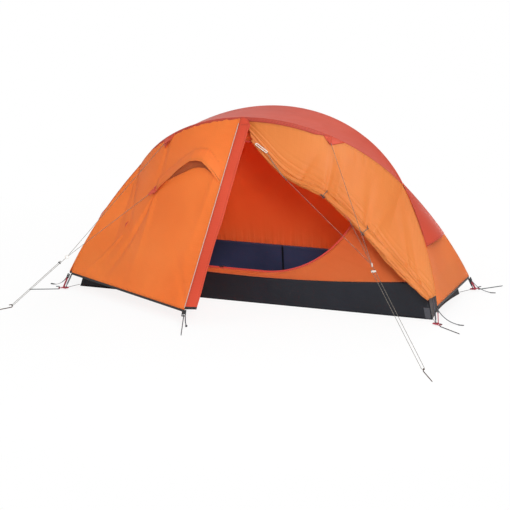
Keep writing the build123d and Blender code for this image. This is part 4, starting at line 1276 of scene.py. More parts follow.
    def sleeve(self, side: Side) -> Object:
        """Pole sleeve: a cloth tube round the crown, of slightly uneven radius.

        Args:
            side: the front or the rear pole.

        Returns:
            The sleeve's object.
        """
        name = "front" if side is Side.FRONT else "rear"
        angles = np.linspace(-self.sleeve_turn, self.sleeve_turn, 160)
        u, v = self.poles.arch(angles, -side.value * self.sleeve_offset)
        y = side.value * (self.poles.lean_y * v - self.poles.foot_half_width)
        centre = np.stack([u, y, self.poles.lean_z * v], axis=-1)
        along = unit(np.gradient(centre, axis=0))
        turn = np.radians(angles)
        beside = unit(np.cross(along, np.stack([np.sin(turn), 0 * turn, np.cos(turn)], axis=-1)))
        theta = np.linspace(0, 2 * math.pi, 40, endpoint=False)
        radius = (self.sleeve_radius + self.sleeve_uneven * ripple(np.arange(len(angles)) / 2.3))[:, None]
        grid = swept(centre, np.cross(beside, along), beside, radius * np.cos(theta), radius * np.sin(theta))
        obj = grid_object(f"{name}_sleeve_cloth", grid, seams=False, wrap=True)
        FINISHES.fly_red.dress(obj)
        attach(thicken(obj, self.sleeve_t), TENT)
        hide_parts(f"{name}_pole_sleeve")
        area = surface_area(np.concatenate([grid, grid[:, :1]], axis=1))
        log.info("%s: %.4f square metres", obj.name, area)
        return obj

    def sleeve_welt(self) -> Cloth:
        """Strip along the front of the crown, where the pole's sleeve is sewn to the panels, painted darker
        as the shade on the sleeve's front face.
        """
        first, last = self.welt_turns
        angles = np.linspace(first, last, 240)
        down = np.tile([0.0, -0.25, -0.97], (len(angles), 1))
        down[:, 0] = -0.08 * np.sign(angles)
        width = self.welt_w * np.clip(np.minimum(angles - first, last - angles) / self.welt_taper, 0.15, 1)
        shares = np.linspace(-0.08, 1, 9)
        grid = self.rim(angles)[:, None] + unit(down)[:, None] * (width[:, None] * shares)[..., None]
        stand_off = self.welt_stand_off + self.welt_bulge * np.sin(math.pi * np.clip(shares, 0, 1))
        return Cloth(
            "front_sleeve_welt", grid + FORWARD * stand_off[:, None], [], FINISHES.sleeve_red_painted_shade,
            (0.024, 1.30), 0.027, "fly_red", rests_on=["fly_roof_cloth"],
        )

    def apex_patch(self) -> Cloth:
        """Sewn red patch that closes the door's apex above the flap's hinge."""
        top, _, out, down, _ = self.zip_frame()
        lay, rise = self.flap_axes()
        along = np.linspace(-0.004, self.zip_start + 0.030, 24)
        wide = np.linspace(0, 1, 16)
        reach = self.apex_w * (0.55 + 0.45 * np.clip(along / self.zip_start, 0, 1))
        grid = top + out * self.apex_lift + down * along[:, None, None]
        grid = grid + lay * (reach[:, None] * wide)[..., None] - rise * (self.apex_curl * wide**2)[:, None]
        return Cloth(
            "fly_apex_patch", grid, [], FINISHES.fly_red, (0.075, self.apex_w), 0.0047, "fly_red",
            rests_on=["fly_porch_left_cloth"],
        )

    def patch(self, name: str, right: bool, corners: Sequence[Sequence[float]]) -> Cloth:
        """Triangular red patch on a porch panel: rows from its tip, a + s * (b + t * (c - b) - a).

        Args:
            name: object name.
            right: on the right panel rather than the left.
            corners: tip and two other corners, as turn (or roll station) and share of the strip.

        Returns:
            The cloth, cut flat as half of a square.
        """
        tip, first, last = (np.array(corner) for corner in corners)
        pairs = plane(np.linspace(0.04, 1, 14), np.linspace(0, 1, 12))
        s, t = pairs[..., :1], pairs[..., 1:]
        place = tip + s * (first + t * (last - first) - tip)
        grid = self.lifted(right, place[..., 0], place[..., 1], self.patch_lift)
        area = surface_area(grid)
        on = "fly_porch_right_cloth" if right else "fly_porch_left_cloth"
        flat = (math.sqrt(2 * area), math.sqrt(2 * area))
        return Cloth(name, grid, [], FINISHES.fly_red, flat, area, "fly_red", rests_on=[on])

    def build(self) -> None:
        """Puts every cloth of the fly into the scene."""
        made = [self.roof(), self.porch_left(), self.porch_right(), self.back(), self.storm_flap()]
        made += [self.end_piece(end, hooded) for end in End for hooded in (True, False)]
        made += [self.vent_hood(), self.vent_mouth(), self.flap_hem(), self.roll()]
        made += [self.sleeve_welt(), self.apex_patch()]
        made += [self.patch(*patch) for patch in self.patches]
        for cloth in made:
            cloth.put()
        for side in Side:
            self.sleeve(side)


@dataclass
class InnerTent:
    """The inner tent: roof, ends, back, front with a D-shaped door, the door's own roll, and the tub floor.

    Other fields are named for what they shape: lengths in metres, turns in degrees, or shares.

    Attributes:
        poles: the arch frame.
        offset: the inner cloth's middle surface, inside the arches.
        share: how far out its edges stand, as a share of the arches' distance from the middle.
        lap: how far its roof and ends reach past that.
        edge_lap: how far out its front and back walls start.
        slack: how far the roof and ends sink in their middle.
        rim_height: height of the tub's rim at its corners.
        rim_sag: how far the front rim sinks in its middle.
        foot_share: share of the rim's length that the walls' feet span.
        front_scale: turn in degrees and share that count as one in the front wall's rings.
        door_grow: how far the wall's opening lies outside the door's own edge.
        door_left: X of the door's left corner, and so on for its other points.
        door_sill: height of the sill above the rim.
        lower_bulge: X, and height above the sill, of a point on its lower arc.
        upper_bulge: the same on its upper arc.
        roll_stations: X, Z and radius along the rolled door.
        spine: share of the tub's length that its middle line spans.
    """

    poles: ArchFrame
    offset: float = -0.039
    share: float = 0.92
    lap: float = 0.002
    edge_lap: float = 0.0038
    slack: float = 0.010
    rim_height: float = 0.212
    rim_sag: float = 0.060
    rim_gap: float = 0.002
    wall_inset: float = 0.001
    wall_gap: float = 0.0008
    end_bow: float = 0.026
    end_lean: float = 0.052
    side_lean: float = 0.025
    foot_share: float = 0.985
    corner_trim: float = 1.5
    back_fold: float = 0.005
    back_hollow: float = 0.006
    gather_height: float = 0.0035
    gather_reach: float = 0.055
    front_fold: float = 0.004
    front_scale: tuple[float, float] = (60.0, 1.0)
    door_grow: float = 0.0098
    door_left: float = -0.310
    door_right: float = 0.575
    door_sill: float = 0.036
    door_top: float = 0.925
    door_apex_x: float = -0.080
    door_bend_x: float = 0.060
    door_side_rise: float = 0.300
    lower_bulge: tuple[float, float] = (0.390, 0.095)
    upper_bulge: tuple[float, float] = (0.340, 0.595)
    roll_stations: tuple[Point, ...] = (
        (-0.352, 0.240, 0.0154),
        (-0.288, 0.450, 0.022),
        (-0.222, 0.660, 0.022),
        (-0.150, 0.880, 0.0132),
    )
    roll_winds: float = 11.0
    roll_inset: float = 0.024
    roll_lobe: float = 0.08
    roll_flat: float = 0.78
    spine: float = 0.72
    tub_sway: float = 0.004
    floor_wave: float = 0.0012
    patch_out: float = 0.0016
    seam_in: float = 0.0062

    def __post_init__(self) -> None:
        """Works out the rim's arc, the hem's turn and the door's sill."""
        self.rim_half = TUB_HALF_LENGTH - self.end_lean
        self.rim_radius = (self.rim_half**2 + self.rim_sag**2) / (2 * self.rim_sag)
        self.cross = self.poles.crossing(self.offset)
        self.hem = self.poles.side_angle(self.rim_height + self.rim_gap, self.offset)
        self.sill = float(self.rim_at(np.array(self.door_left))) + self.door_sill

    def rim_at(self, x: Array) -> Array:
        """Height of the tub's sagging rim: an arc whose lowest point is in the middle."""
        low = self.rim_height - self.rim_sag
        return low + self.rim_radius - np.sqrt(np.maximum(self.rim_radius**2 - x**2, 0))

    def wall(self, angles: Array, shares: Array, side: Side) -> Array:
        """Points of the front or back wall by turn and share of the strip from the arch to the rim."""
        upper = self.poles.edge(angles, self.offset, self.edge_lap, side, self.share)
        x = self.foot_share * self.rim_half * angles / self.hem
        rim = self.rim_at(x) if side is Side.FRONT else np.full(np.shape(x), self.rim_height)
        y = side.value * (TUB_HALF_WIDTH - self.side_lean * rim / self.rim_height - self.wall_inset)
        lower = np.stack([x, y, rim + self.wall_gap], axis=-1)
        return upper + (lower - upper) * shares[..., None]

    def hung(self, node: str, grid: Array, flat: tuple[float, float], area: float) -> Cloth:
        """Cloth of the inner tent that hangs from the hangers."""
        settings = (grid, FINISHES.inner, flat, area, "inner_orange")
        return Cloth.panel(node, *settings, held="hung", rests_on=["inner_hangers"])

    def band(self, angles: Array, count: int, toward: Array, pitch: float) -> Array:
        """Cloth between the poles, slack in its middle by slack * (1 - across**2) and gathered at its edges.

        Args:
            angles: turns in degrees.
            count: points across.
            toward: direction that its outside faces.
            pitch: distance between the gathers.

        Returns:
            Grid of points, shape (len(angles), count, 3).
        """
        across = np.linspace(-1, 1, count)
        grid = self.poles.band(angles, across, self.offset, self.lap, self.share)
        normals = outward(grid, toward)
        grid = grid - normals * (self.slack * (1 - across**2))[:, None]
        return pucker(grid, normals, "tb", pitch=pitch, height=0.002, reach=0.05)

    def roof(self) -> Cloth:
        """Inner roof, hung slackly between its edges."""
        grid = self.band(turns((-self.cross, self.cross), 0.8), 41, UP, 0.11)
        return self.hung("inner_roof", grid, (0.38, 1.76), 0.366)

    def end_piece(self, end: End) -> Cloth:
        """Inner end between two legs, hung a little slack."""
        angles = end.value * turns((self.cross + 0.05, self.hem), 0.6)
        grid = self.band(angles, 33, end.outside(), 0.09)
        return self.hung(f"inner_end_{end.name.lower()}", grid, (0.54, 0.57), 0.143)

    def back(self) -> Cloth:
        """Inner back wall, with slack folds that fall from the hangers and gathers at its foot."""
        last = self.hem - self.corner_trim
        angles = turns((-last, -self.cross, self.cross, last), 0.25)
        shares = 1 - (1 - np.linspace(0, 1, 60)) ** 1.3
        place = plane(angles, shares)
        grid = self.wall(place[..., 0], place[..., 1], Side.BACK)
        normals = outward(grid, -FORWARD)
        folds = (self.back_fold * ripple(angles / 4.2)[:, None] - self.back_hollow) * np.sin(math.pi * shares)
        near_foot = np.exp((shares - 1) / self.gather_reach)
        gathers = self.gather_height * ripple(angles * 2.0)[:, None] * near_foot
        grid = grid + normals * (folds + gathers)[..., None]
        grid = pucker(grid, normals, "tb", pitch=0.10, height=0.002, reach=0.05)
        return self.hung("inner_back", grid, (2.07, 0.92), 1.378)

    def door_outline(self, grow: float, count: int) -> Array:
        """D-shaped outline in X and Z: a level sill, two arcs up the right side and a straight slant.

        Args:
            grow: distance added outside the door's own edge.
            count: points along each of its four stretches.

        Returns:
            Points in order round the door, shape (4 * count, 2).
        """
        slant = grow * math.sin(math.radians(45))
        start = np.array([self.door_left - grow, self.sill - grow])
        bend = np.array([self.door_bend_x, self.sill - grow])
        low = np.array([self.lower_bulge[0] + slant, self.sill + self.lower_bulge[1] - slant])
        right = np.array([self.door_right + grow, self.sill + self.door_side_rise])
        high = np.array([self.upper_bulge[0] + slant, self.sill + self.upper_bulge[1] + slant])
        apex = np.array([self.door_apex_x, self.door_top + grow])
        t = np.linspace(0, 1, count, endpoint=False)[:, None]

        def arc(a: Array, b: Array, c: Array) -> Array:
            """Circle through three points, from the first to the last, by its centre and turn."""
            rows = 2 * np.array([b - a, c - a])
            centre = np.linalg.solve(rows, [b @ b - a @ a, c @ c - a @ a])
            angles = np.unwrap([math.atan2(*(p - centre)[::-1]) for p in (a, b, c)])
            turn = angles[0] + (angles[2] - angles[0]) * t[:, 0]
            return centre + np.linalg.norm(a - centre) * np.stack([np.cos(turn), np.sin(turn)], axis=-1)

        sill, slope = start + (bend - start) * t, apex + (start - apex) * t
        return np.concatenate([sill, arc(bend, low, right), arc(right, high, apex), slope])

    def wall_place(self, target: Array) -> Array:
        """Turn and share of the front wall's points that show at X and Z, by Newton's method.

        Args:
            target: X and Z, shape (k, 2).

        Returns:
            Turns in degrees and shares, shape (k, 2).
        """
        guess = np.degrees(np.arcsin(np.clip(target[:, 0], -0.9, 0.9)))
        place = np.stack([guess, np.full(len(target), 0.5)], axis=-1)
        turn_step, share_step = 0.01, 1e-4
        for _ in range(30):
            turn, share = place[:, 0], place[:, 1]
            here = self.wall(turn, share, Side.FRONT)[:, [0, 2]]
            by_turn = (self.wall(turn + turn_step, share, Side.FRONT)[:, [0, 2]] - here) / turn_step
            by_share = (self.wall(turn, share + share_step, Side.FRONT)[:, [0, 2]] - here) / share_step
            gap = target - here
            det = by_turn[:, 0] * by_share[:, 1] - by_turn[:, 1] * by_share[:, 0]
            place[:, 0] += (gap[:, 0] * by_share[:, 1] - gap[:, 1] * by_share[:, 0]) / det
            place[:, 1] += (by_turn[:, 0] * gap[:, 1] - by_turn[:, 1] * gap[:, 0]) / det
        return place

    def front(self) -> Cloth:
        """Front wall round its door: rings between the door's outline and the wall's edge."""
        scale = np.array(self.front_scale)
        door = self.wall_place(self.door_outline(self.door_grow, 60)) / scale
        middle = door.mean(axis=0)
        spokes = door - middle
        bearing = np.arctan2(spokes[:, 1], spokes[:, 0])
        order = np.argsort(bearing)
        last = (self.hem - self.corner_trim) / scale[0]
        corners = np.array([[last, 0.0], [last, 1.0], [-last, 1.0], [-last, 0.0]]) - middle
        angles = np.sort(np.concatenate([bearing, np.arctan2(corners[:, 1], corners[:, 0])]))
        way = np.stack([np.cos(angles), np.sin(angles)], axis=-1)
        with np.errstate(divide="ignore"):
            to_side = np.where(way[:, 0] > 0, last - middle[0], -last - middle[0]) / way[:, 0]
            to_row = np.where(way[:, 1] > 0, 1.0 - middle[1], -middle[1]) / way[:, 1]
        outer = np.minimum(np.abs(to_side), np.abs(to_row))
        reach = np.linalg.norm(spokes, axis=1)[order]
        inner = np.interp(angles, bearing[order], reach, period=2 * math.pi)
        share = np.linspace(0, 1, 40)[:, None]
        place = (middle + way * (inner + (outer - inner) * share)[..., None]) * scale
        grid = self.wall(place[..., 0], np.clip(place[..., 1], 0, 1), Side.FRONT)
        ring = np.concatenate([grid, grid[:, :1]], axis=1)
        normals = outward(ring, FORWARD)
        folds = self.front_fold * np.sin(math.pi * share) * ripple(np.linspace(0, 24, ring.shape[1]))
        ring = ring + normals * folds[..., None]
        ring[:, -1] = ring[:, 0]
        return self.hung("inner_front", ring, (2.07, 0.92), 0.91)

    def roll(self) -> Cloth:
        """The inner door's own cloth, rolled beside the opening: a spiral carried up a slanting line."""
        x, z, radius = smooth_line(np.array(self.roll_stations), np.linspace(0, 3, 120)).T[..., None]
        beside = np.full(120, self.hem * self.door_left / self.rim_half)
        wall = self.wall(beside, np.linspace(0, 1, 120), Side.FRONT)
        y = np.interp(z, wall[::-1, 2], wall[::-1, 1]) + self.roll_inset
        wind = np.linspace(0.3, 1.0, 260)
        theta = 2 * math.pi * self.roll_winds * wind
        reach = radius * wind * (1 + self.roll_lobe * np.sin(2 * theta + z * 14))
        across, deep = x + reach * np.cos(theta), y + self.roll_flat * reach * np.sin(theta)
        grid = np.stack(np.broadcast_arrays(across, deep, z), axis=-1)
        return Cloth.panel(
            "inner_door_roll", grid, FINISHES.inner, (0.66, 0.73), 0.40, "inner_orange",
            held="gathered", rests_on=["inner_front_cloth"],
        )

    def tub_edge(self, count: int) -> tuple[Array, Array]:
        """Floor edge and rim edge of the tub, in step with each other round it.

        Args:
            count: points along each side.

        Returns:
            Two rows of points, shape (4 * count, 3).
        """
        t = np.linspace(-1, 1, count, endpoint=False)
        rows = []
        for half_x, half_y, height in (
            (TUB_HALF_LENGTH, TUB_HALF_WIDTH, 0.0),
            (self.rim_half, TUB_HALF_WIDTH - self.side_lean, self.rim_height),
        ):
            radius = (half_y**2 + self.end_bow**2) / (2 * self.end_bow)
            bow = half_x - (np.sqrt(radius**2 - (t * half_y) ** 2) - (radius - self.end_bow))
            side, end = np.full(count, half_y), t * half_y
            x = np.concatenate([t * half_x, bow, -t * half_x, -bow])
            y = np.concatenate([-side, end, side, -end])
            rows.append(np.stack([x, y, np.full(len(x), height)], axis=-1))
        floor, rim = rows
        sagging = self.rim_at(np.clip(rim[:, 0], -self.rim_half, self.rim_half)) / self.rim_height
        in_front = rim[:, 1] < 1e-6 - TUB_HALF_WIDTH + self.side_lean
        lowered = np.where(in_front, np.minimum(sagging, 1), 1)
        return floor, floor + (rim - floor) * lowered[:, None]

    def tub(self) -> Cloth:
        """Tub floor: rings from its middle line out to the floor's edge, then up the leaning walls."""
        floor, rim = self.tub_edge(110)
        spine = floor * np.array([self.spine, 0.0, 0.0])
        out = np.linspace(0, 1, 26)[:, None]
        base = spine + (floor - spine) * out[..., None]
        waves = ripple(base[..., 0] * 19 + base[..., 1] * 7)
        base[..., 2] = 0.0004 + self.floor_wave * (1 + waves) * (1 - out**6)
        up = np.linspace(0, 1, 17)[1:, None]
        way = unit(np.stack([floor[:, 0] / 6, floor[:, 1], 0 * floor[:, 0]], axis=-1))
        steps = np.linalg.norm(np.roll(floor, -1, axis=0) - floor, axis=1).cumsum()
        sway = self.tub_sway * ripple(steps * 13) * np.sin(math.pi * up * 0.9)
        walls = floor + (rim - floor) * up[..., None] - way * np.maximum(sway + 0.001, 0)[..., None]
        ring = np.concatenate([base, walls])
        ring = np.concatenate([ring, ring[:, :1]], axis=1)
        return Cloth(
            "groundsheet_cloth", ring, ["groundsheet_tub"], FINISHES.floor_cloth, (0.98, 2.62), 2.25,
            "groundsheet", "laid", ["floor"], lining=FINISHES.floor_lining_and_sheen,
        )

    def corner_patch(self) -> Cloth:
        """Grey reinforcement sewn on the front wall's right corner."""
        x = np.linspace(TUB_HALF_LENGTH - 0.040, TUB_HALF_LENGTH - 0.004, 8)[:, None]
        z = np.linspace(0.003, 0.065, 10)
        lean = z / self.rim_height
        y = -(TUB_HALF_WIDTH - self.side_lean * lean + self.patch_out)
        grid = np.stack(np.broadcast_arrays(x - self.end_lean * lean, y, z), axis=-1)
        return Cloth(
            "tub_corner_patch", grid, [], FINISHES.dark_grey_tape, (0.036, 0.062), 0.0022, "webbing_grey",
            rests_on=["groundsheet_cloth"],
        )

    def back_seam(self) -> Cloth:
        """Taped seam across the tub's back wall, in the middle of the far side."""
        x = np.linspace(-0.015, -0.003, 4)[:, None]
        z = np.linspace(0.004, self.rim_height - 0.002, 16)
        y = TUB_HALF_WIDTH - self.side_lean * z / self.rim_height - self.seam_in
        grid = np.stack(np.broadcast_arrays(x, y, z), axis=-1)
        return Cloth(
            "tub_back_seam", grid, [], FINISHES.floor_cloth, (0.012, 0.207), 0.0024, "groundsheet",
            rests_on=["groundsheet_cloth"],
        )

    def build(self) -> None:
        """Puts every cloth of the inner tent into the scene."""
        made = [self.roof(), self.back(), self.front(), self.tub(), self.roll(), self.corner_patch()]
        for cloth in made + [self.back_seam()] + [self.end_piece(end) for end in End]:
            cloth.put()


@dataclass
class CordRun:
    """One free cord along a smooth line.

    Attributes:
        name: object name.
        route: control points of its line.
        diameter: of the cord.
        nodes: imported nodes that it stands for.
        finish: its finish.
        far_end: what its far end is.
        with_pieces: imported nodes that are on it.
        lay: how it lies.
        length: its real length; that of its control line, if none is given.
    """

    name: str
    route: Array
    diameter: float
    nodes: Sequence[str]
    finish: Finish
    far_end: str = "knot"
    with_pieces: Sequence[str] = ()
    lay: str = "taut"
    length: Optional[float] = None

    def __post_init__(self) -> None:
        """Measures the control line."""
        if self.length is None:
            self.length = float(np.linalg.norm(np.diff(self.route, axis=0), axis=1).sum())

    def put(self) -> Object:
        curve = bpy.data.curves.new(self.name, "CURVE")
        curve.dimensions = "3D"
        curve.bevel_depth = self.diameter / 2
        curve.bevel_resolution = 3
        curve.resolution_u = 8
        curve.use_fill_caps = True
        spline = curve.splines.new("NURBS")
        spline.points.add(len(self.route) - 1)
        weighted = np.concatenate([self.route, np.ones((len(self.route), 1))], axis=1)
        spline.points.foreach_set("co", weighted.ravel())
        spline.order_u = 3
        spline.use_endpoint_u = True
        obj = bpy.data.objects.new(self.name, curve)
        bpy.context.scene.collection.objects.link(obj)
        fixed(obj, self.finish)
        if self.nodes:
            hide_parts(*self.nodes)
        log.info("%s: %.3f m of cord", self.name, self.length)
        return obj


def straight(start: Array, end: Array, diameter: float) -> Array:
    """Control points of a straight cord, two of them six diameters inside its ends."""
    near = unit(end - start) * 6 * diameter
    return np.array([start, start + near, end - near, end])


def end_knot(name: str, run: CordRun, size: float) -> Object:
    """Overhand knot at a cord's far end: a closed line of three crossing turns, as thick as the cord.

    Args:
        name: object name.
        run: the cord.
        size: mean radius of the turns.

    Returns:
        The knot's object.
    """
    t = np.linspace(0, 2 * math.pi, 72, endpoint=False)
    along = unit(run.route[-1] - run.route[-2])
    one = unit(np.cross(along, UP))
    two = np.cross(along, one)
    swing = size * (1 + 0.35 * np.cos(3 * t))
    turns_of_it = one * (swing * np.cos(2 * t))[:, None] + two * (swing * np.sin(2 * t))[:, None]
    line = run.route[-1] + turns_of_it + along * (0.8 * size * np.sin(3 * t))[:, None]
    return fixed(closed_tube(name, line, run.diameter / 2), run.finish)


@dataclass
class GuyLine:
    """One guy line: two legs from tabs to a ring, and a doubled line round a peg.

    Attributes:
        side: left or right.
        tips: where the two legs leave their tabs.
        ring: middle of the ring.
        loop_end: middle of the loop round the peg.
        gap: distance from a tab to its leg.
        spread: distance between the doubled line's two runs.
        half_turn: length of the bend round the peg over that distance.
        runner_rest: distance of the runner from the ring.
        knot: half the length of the knot at the line's end.
        knot_turn: radius of its turns over that.
    """

    side: str
    tips: tuple[Point, Point]
    ring: Point
    loop_end: Point
    gap: float = 0.0004
    spread: float = 0.018
    half_turn: float = 1.57
    runner_rest: float = 0.052
    knot: float = 0.0032
    knot_turn: float = 0.75

    def legs(self) -> list[CordRun]:
        """Two straight cords from the tabs to the ring; the first carries the ring."""
        ring = np.array(self.ring)
        pulls = [unit(ring - np.array(tip)) for tip in self.tips]
        upper, lower = (
            straight(np.array(tip) + pull * self.gap, ring - pull * RING_REACH, CORD_D)
            for tip, pull in zip(self.tips, pulls)
        )
        settings = (CORD_D, [f"guy_legs_{self.side}"], FINISHES.guy_cord)
        return [
            CordRun(f"guy_leg_upper_{self.side}", upper, *settings, "fitting", [f"guy_ring_{self.side}"]),
            CordRun(f"guy_leg_lower_{self.side}", lower, *settings),
        ]

    def tail(self) -> CordRun:
        """Doubled line: out to the peg, round it, and back through the runner to a knot."""
        ring, loop = np.array(self.ring), np.array(self.loop_end)
        level = unit((loop - ring) * np.array([1.0, 1.0, 0.0]))
        sideways = np.cross(level, UP)
        line_end = loop - sideways * (self.spread / 2)
        along = unit(line_end - ring)
        far = float(np.linalg.norm(line_end - ring))
        near = 6 * CORD_D
        turn, finish = far + self.spread / 2, self.runner_rest - 2 * self.knot
        out = [RING_REACH, RING_REACH + near, far - 2 * near, turn]
        back = [turn, far - 2 * near, finish + near, finish]
        across = np.repeat([0.0, self.spread], 4)
        route = ring + along * np.array(out + back)[:, None] + sideways * across[:, None]
        return CordRun(
            f"guy_tail_{self.side}_cord", route, CORD_D, [f"guy_tail_{self.side}"], FINISHES.guy_cord,
            with_pieces=[f"guy_runner_{self.side}", f"guy_peg_{self.side}"],
            length=2 * far - RING_REACH - finish + self.half_turn * self.spread,
        )

    def build(self) -> None:
        """Puts the guy line and the knot at its end into the scene."""
        tail = self.tail()
        for run in self.legs() + [tail]:
            run.put()
        end_knot(f"guy_knot_{self.side}", tail, self.knot * self.knot_turn)


@dataclass
class DoorTies:
    """What hangs at the top of the rolled door: a pale hook, two short ties and the line to the right ring.

    Attributes:
        hook_top: upper end of the hook.
        hook_foot: lower end of the hook, where the ties begin.
        tie_foot: where the ties and the line meet on the roll.
        hook_w: width of the hook.
        hook_rod: diameter of its rod.
        tie_bows: a point beside the middle of each tie.
        knot: radius of the knot's turns.
    """

    hook_top: Point = (0.0170, -0.2640, 0.9330)
    hook_foot: Point = (0.0900, -0.2740, 0.8890)
    tie_foot: Point = (0.2150, -0.2960, 0.7420)
    hook_w: float = 0.011
    hook_rod: float = 0.0054
    tie_bows: tuple[Point, Point] = ((0.150, -0.292, 0.806), (0.158, -0.306, 0.792))
    knot: float = 0.0026

    def hook(self) -> Object:
        """Long closed loop of moulded plastic: a stadium line with a round rod."""
        top, foot = np.array(self.hook_top), np.array(self.hook_foot)
        along, half_w = unit(foot - top), self.hook_w / 2
        half = float(np.linalg.norm(foot - top)) / 2 - half_w
        beside = unit(np.cross(along, FORWARD))
        t = np.linspace(0, 2 * math.pi, 64, endpoint=False)
        stretch = half * np.tanh(4 * np.cos(t)) + half_w * np.cos(t)
        line = (top + foot) / 2 + along * stretch[:, None] + beside * (half_w * np.sin(t))[:, None]
        return fixed(closed_tube("door_hook", line, self.hook_rod / 2), FINISHES.pale_plastic)

    def build(self) -> None:
        """Puts the hook, the ties and the line into the scene."""
        self.hook()
        foot, ring = np.array(self.tie_foot), np.array(RIGHT_RING)
        for number, bow in enumerate(self.tie_bows, 1):
            route = np.array([self.hook_foot, bow, self.tie_foot])
            tie = CordRun(f"door_tie_cord_{number}", route, CORD_D, [], FINISHES.guy_cord)
            tie.put()
        end_knot("door_tie_knot", tie, self.knot)
        route = straight(foot, ring - unit(ring - foot) * RING_REACH, CORD_D)
        CordRun("door_line_right", route, CORD_D, [], FINISHES.guy_cord).put()


@dataclass
class TailEnds:
    """Moulded pulls on the free ends of the corner straps' tails.

    Attributes:
        bearings: the way each tail lies, in degrees, by the signs of its corner's X and Y.
        length: of a pull.
        width: of a pull.
        height: of a pull.
        gap: between a pull and the floor.
        inset: how far its middle lies back from the tail's end.
    """

    bearings: tuple[tuple[int, int, float], ...] = (
        (-1, -1, 162.0),
        (1, -1, 4.0),
        (1, 1, 10.0),
        (-1, 1, 180.0),
    )
    length: float = 0.034
    width: float = 0.0125
    height: float = 0.0046
    gap: float = 0.0004
    inset: float = 0.010

    def pull(self, number: int, end: Array, heading: Array) -> Object:
        """Rounded bar: an ellipse carried along its length and shrunk by (1 - u**6)**0.25 to both ends.

        Args:
            number: of the pull.
            end: the tail's last point.
            heading: the way the tail lies.

        Returns:
            The pull's object.
        """
        u = np.sin(np.linspace(-math.pi / 2, math.pi / 2, 30))[:, None]
        s = np.linspace(0, 2 * math.pi, 20, endpoint=False)
        shrink = np.maximum(1 - u**6, 0) ** 0.25
        middle = np.array([end[0], end[1], self.height / 2 + self.gap]) - heading * self.inset
        line = middle + heading * (u * self.length / 2)
        across, rise = shrink * np.cos(s) * self.width / 2, shrink * np.sin(s) * self.height / 2
        grid = swept(line, np.cross(UP, heading)[None], UP[None], across, rise)
        obj = grid_object(f"strap_tail_pull_{number}", grid, seams=False, wrap=True)
        return fixed(obj, FINISHES.dark_plastic)

    def build(self) -> None:
        """Finds where each packed tail ends and puts a pull there."""
        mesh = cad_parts["strap_tails"].data
        points = np.empty(len(mesh.vertices) * 3)
        mesh.vertices.foreach_get("co", points)
        points = points.reshape(-1, 3)
        for number, (x_sign, y_sign, bearing) in enumerate(self.bearings, 1):
            corner = points[(points[:, 0] * x_sign > 0) & (points[:, 1] * y_sign > 0)]
            heading = np.array([math.cos(math.radians(bearing)), math.sin(math.radians(bearing)), 0.0])
            self.pull(number, corner[np.argmax(corner @ heading)], heading)


@dataclass
class PorchTail:
    """Loose end of the porch tab's cord, which hangs beside the peg.

    Attributes:
        route: control points of its line, from the tab down to the floor.
        diameter: of the cord.
        knot: radius of the turns of the knot at its end.
    """

    route: tuple[Point, ...] = (
        (-0.1564, -0.9265, 0.0660),
        (-0.1535, -0.9300, 0.0560),
        (-0.1530, -0.9330, 0.0300),
        (-0.1460, -0.9355, 0.0095),
    )
    diameter: float = 0.006
    knot: float = 0.0032

    def build(self) -> None:
        """Puts the cord and its knot into the scene."""
        route = np.array(self.route)
        tail = CordRun("porch_tab_tail", route, self.diameter, [], FINISHES.dark_cord, lay="hanging")
        tail.put()
        end_knot("porch_tab_knot", tail, self.knot)


@dataclass
class CornerCords:
    """Short dark cords from the tub's corners to the corner feet.

    Attributes:
        height: of the cords above the floor.
        disc: radius of the tab round a foot, where a cord ends.
        gap: left free at both ends.
        feet: name, X and Y of each foot.
    """

    height: float = 0.0105
    disc: float = 0.020
    gap: float = 0.0005
    feet: tuple[tuple[str, float, float], ...] = (
        ("front_left", -1.142408, -0.407789),
        ("front_right", 1.142408, -0.407789),
        ("back_right", 1.152688, 0.407789),
        ("back_left", -1.152688, 0.407789),
    )

    def build(self) -> None:
        """Puts the four cords into the scene."""
        for name, x, y in self.feet:
            foot = np.array([x, y, self.height])
            corner_x, corner_y = math.copysign(TUB_HALF_LENGTH, x), math.copysign(TUB_HALF_WIDTH, y)
            corner = np.array([corner_x, corner_y, self.height])
            heading = unit(foot - corner)
            route = straight(corner + heading * self.gap, foot - heading * (self.disc + self.gap), CORD_D)
            run = CordRun(f"tub_corner_cord_{name}", route, CORD_D, ["tub_corner_cords"], FINISHES.dark_cord)
            run.put()


@dataclass
class Trim:
    """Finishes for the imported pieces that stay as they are."""

    def table(self) -> dict[str, Finish]:
        """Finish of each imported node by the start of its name."""
        f = FINISHES
        starts = (
            (f.pole, "front_pole_tubes rear_pole_tubes front_pole_ferrules rear_pole_ferrules pole_tips"),
            (f.guy_cord, "front_pole_shock_cord rear_pole_shock_cord door_tie_loops"),
            (f.black_tape, "fly_hem_binding porch_peg_tab"),
            (f.red_zip, "fly_zip_tape inner_door_zip"),
            (f.pale_piping, "fly_door_piping"),
            (f.slider, "fly_zip_slider inner_zip_slider"),
            (f.dark_plastic, "fly_zip_pull inner_zip_pull strap_buckles guy_runner_left"),
            (f.grey_tape, "inner_hangers"),
            (f.brown_plastic, "door_toggle_upper door_toggle_lower"),
            (f.red_tape, "corner_straps"),
            (f.dark_grey_tape, "strap_tails"),
            (f.red_cloth_tab, "guy_tabs"),
            (f.pale_plastic, "guy_ring_left guy_ring_right guy_runner_right"),
            (f.peg, "peg"),
            (f.line_peg, "guy_peg"),
        )
        return {start: finish for finish, names in starts for start in names.split()}

    def build(self) -> None:
        """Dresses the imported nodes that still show."""
        table = self.table()
        for name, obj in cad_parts.items():
            finish = next((made for start, made in table.items() if name.startswith(start)), None)
            if finish is not None and not obj.hide_render:
                finish.dress(obj)
                log.info("%s: %s", name, finish.name)


